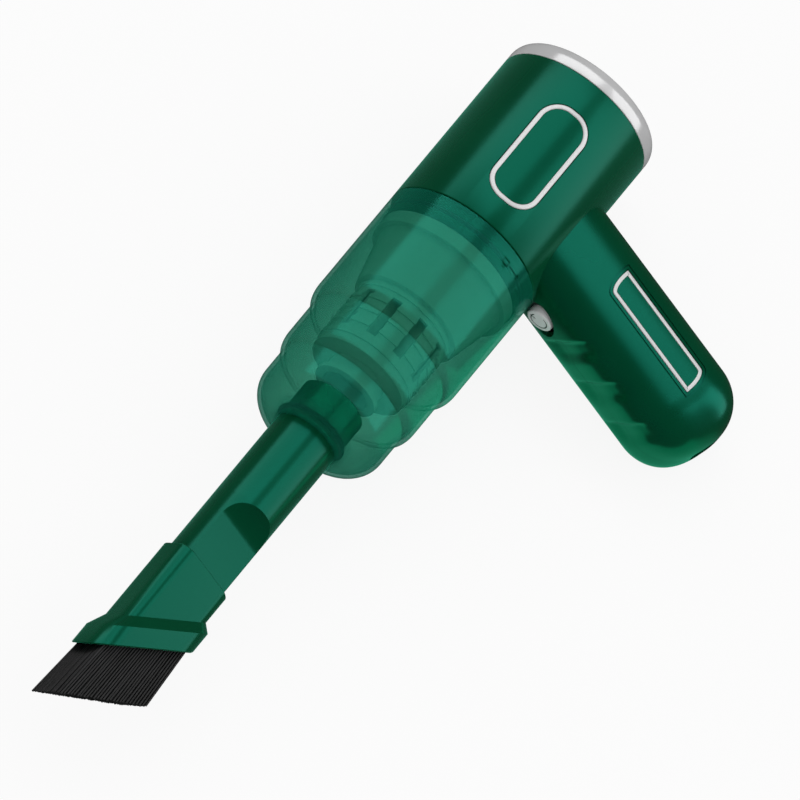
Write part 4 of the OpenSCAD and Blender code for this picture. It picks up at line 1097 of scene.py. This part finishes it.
# %% The brush shoe
SHOE_A, SHOE_B, SHOE_ROUND, SHOE_X = 15.0, 8.8, 5.5, -172
FLARE_FROM, FLARE_TO = -197.2, -202.7
COLLAR_A, COLLAR_B, COLLAR_ROUND, COLLAR_X = 18.4, 11.2, 8, -212.7
EASE = 0.5
SEAT_R, SEAT_H, SEAT_FROM, SEAT_END = 13.8, 7.6, -160, -206.7
MOUTH_A, MOUTH_B, MOUTH_FROM = 11.2, 4.6, -180
HOLD_A, HOLD_B, HOLD_FLOOR = 15.0, 8.4, -210.7
CORNER, IN_FRONT = 0.6, -235
sleeve = round_box(SHOE_A, SHOE_B, SHOE_ROUND)
collar = round_box(COLLAR_A, COLLAR_B, COLLAR_ROUND)
shoe = loft("shoe_skin", [
    level(round_box(SHOE_A - EASE, SHOE_B - EASE, SHOE_ROUND - EASE), SHOE_X), level(sleeve, SHOE_X - EASE),
    slanted(sleeve, FLARE_FROM), slanted(collar, FLARE_TO), slanted(collar, COLLAR_X + EASE),
    slanted(round_box(COLLAR_A - EASE, COLLAR_B - EASE, COLLAR_ROUND - EASE), COLLAR_X)])
seat = cut_circle(SEAT_R, SEAT_H)
cut(shoe, loft("seat", [level(seat, SEAT_FROM), slanted(seat, SEAT_END)]))
mouth = round_box(MOUTH_A, MOUTH_B, CORNER)
cut(shoe, loft("mouth", [level(mouth, MOUTH_FROM), slanted(mouth, IN_FRONT)]))
hold = round_box(HOLD_A, HOLD_B, CORNER)
cut(shoe, loft("band", [slanted(hold, HOLD_FLOOR), slanted(hold, IN_FRONT)]))
smooth(shoe, angle=25)
hand_over(shoe, NOZZLE, "brush", "gloss_green", "brush_shoe")

# %% [markdown]
# The bristles stand in a band round the mouth. One tapered strand is copied along the band and across
# it with two Array modifiers, whose steps follow the slant. Each strand is then moved a hair at random,
# its tip is led outwards a little, and some are cut a little shorter, so the brush doesn't look like a
# comb.

# %% A field of strands
BRISTLE_LEN, BRISTLE_R, BRISTLE_TIP, BRISTLE_SIDES, BRISTLE_STEP = 27, 0.5, 0.85, 8, 1.1
SPLAY, DRIFT, STRAY, SHORTER = 1.1, 0.08, 0.12, 0.3
random.seed(7)


def strands(name, y, z):
    """Rows of equal strands between two edges each way, and the number of points in each strand."""
    count = [max(2, round((edge[1] - edge[0]) / BRISTLE_STEP)) for edge in (y, z)]
    step = [(edge[1] - edge[0]) / number for edge, number in zip((y, z), count)]
    bpy.ops.object.select_all(action="DESELECT")
    bpy.ops.mesh.primitive_cone_add(vertices=BRISTLE_SIDES, radius1=BRISTLE_R * MM,
                                    radius2=BRISTLE_TIP * BRISTLE_R * MM, depth=BRISTLE_LEN * MM)
    piece = bpy.context.object
    piece.name = name
    piece.data.transform(Matrix.Rotation(-math.pi / 2, 4, "Y"))
    start = Vector((0, y[0] + step[0] / 2, z[0] + step[1] / 2))
    start.x = COLLAR_X - start.y * SLANT - BRISTLE_LEN / 2
    piece.data.transform(Matrix.Translation(start * MM))
    size = len(piece.data.vertices)
    for number, offset in ((count[0], (-step[0] * SLANT, step[0], 0)), (count[1], (0, 0, step[1]))):
        row = piece.modifiers.new("row", "ARRAY")
        row.count = number
        row.use_relative_offset = False
        row.use_constant_offset = True
        row.constant_offset_displace = Vector(offset) * MM
        bpy.ops.object.modifier_apply(modifier="row")
    return piece, size


def aside(limit):
    """A random move to the side, in metres, by no more than a limit in millimetres each way."""
    return Vector((0, random.uniform(-limit, limit), random.uniform(-limit, limit))) * MM


def loosen(piece, size):
    """Moves every strand a little at random and leads its tip outwards."""
    for first in range(0, len(piece.data.vertices), size):
        strand = [piece.data.vertices[i] for i in range(first, first + size)]
        root = max(vertex.co.x for vertex in strand)
        drift = aside(DRIFT)
        lean_out = aside(STRAY)
        short = random.uniform(0, SHORTER) * MM
        for vertex in strand:
            out = step_up(0, BRISTLE_LEN * MM, root - vertex.co.x)
            vertex.co.y = vertex.co.y * (1 + (SPLAY - 1) * out)
            vertex.co.z = vertex.co.z * (1 + (SPLAY - 1) * out)
            vertex.co += drift + lean_out * out + Vector((short * out, 0, 0))


print("a strand every %.1f mm" % BRISTLE_STEP)

# %% [markdown]
# A strip in the collar's pocket holds the roots of each band. Strip and strands are joined to one
# piece, because the real band is one strip of plastic with its strands moulded in.

# %% The bristles
BRUSH_A, BRUSH_B, BAND, BAND_GAP = 14.8, 8.2, 3.2, 0.2
STRIP_DEEP, STRIP_OUT = 1.9, 0.1


def bristles(name, y, z, node):
    """A band of bristles between two edges each way, on a strip that holds their roots."""
    piece, size = strands(name, y, z)
    loosen(piece, size)
    strip = slab("strip", rectangle(*y, *z), 0, 1)
    for vertex in strip.data.vertices:
        deep = STRIP_DEEP if vertex.co.z > MM / 2 else -STRIP_OUT
        wide = vertex.co.x
        vertex.co = ((COLLAR_X + deep) * MM - wide * SLANT, wide, vertex.co.y)
    face_outwards(strip)
    bpy.ops.object.select_all(action="DESELECT")
    strip.select_set(True)
    piece.select_set(True)
    bpy.context.view_layer.objects.active = piece
    bpy.ops.object.join()
    smooth(piece, angle=60)
    hand_over(piece, NOZZLE, "brush", "bristle", node)


inside = BRUSH_B - BAND - BAND_GAP
bristles("strands_left", (-BRUSH_A, BRUSH_A), (BRUSH_B - BAND, BRUSH_B), "bristles_left")
bristles("strands_right", (-BRUSH_A, BRUSH_A), (-BRUSH_B, BAND - BRUSH_B), "bristles_right")
bristles("strands_upper", (BRUSH_A - BAND, BRUSH_A), (-inside, inside), "bristles_upper")
bristles("strands_lower", (-BRUSH_A, BAND - BRUSH_A), (-inside, inside), "bristles_lower")
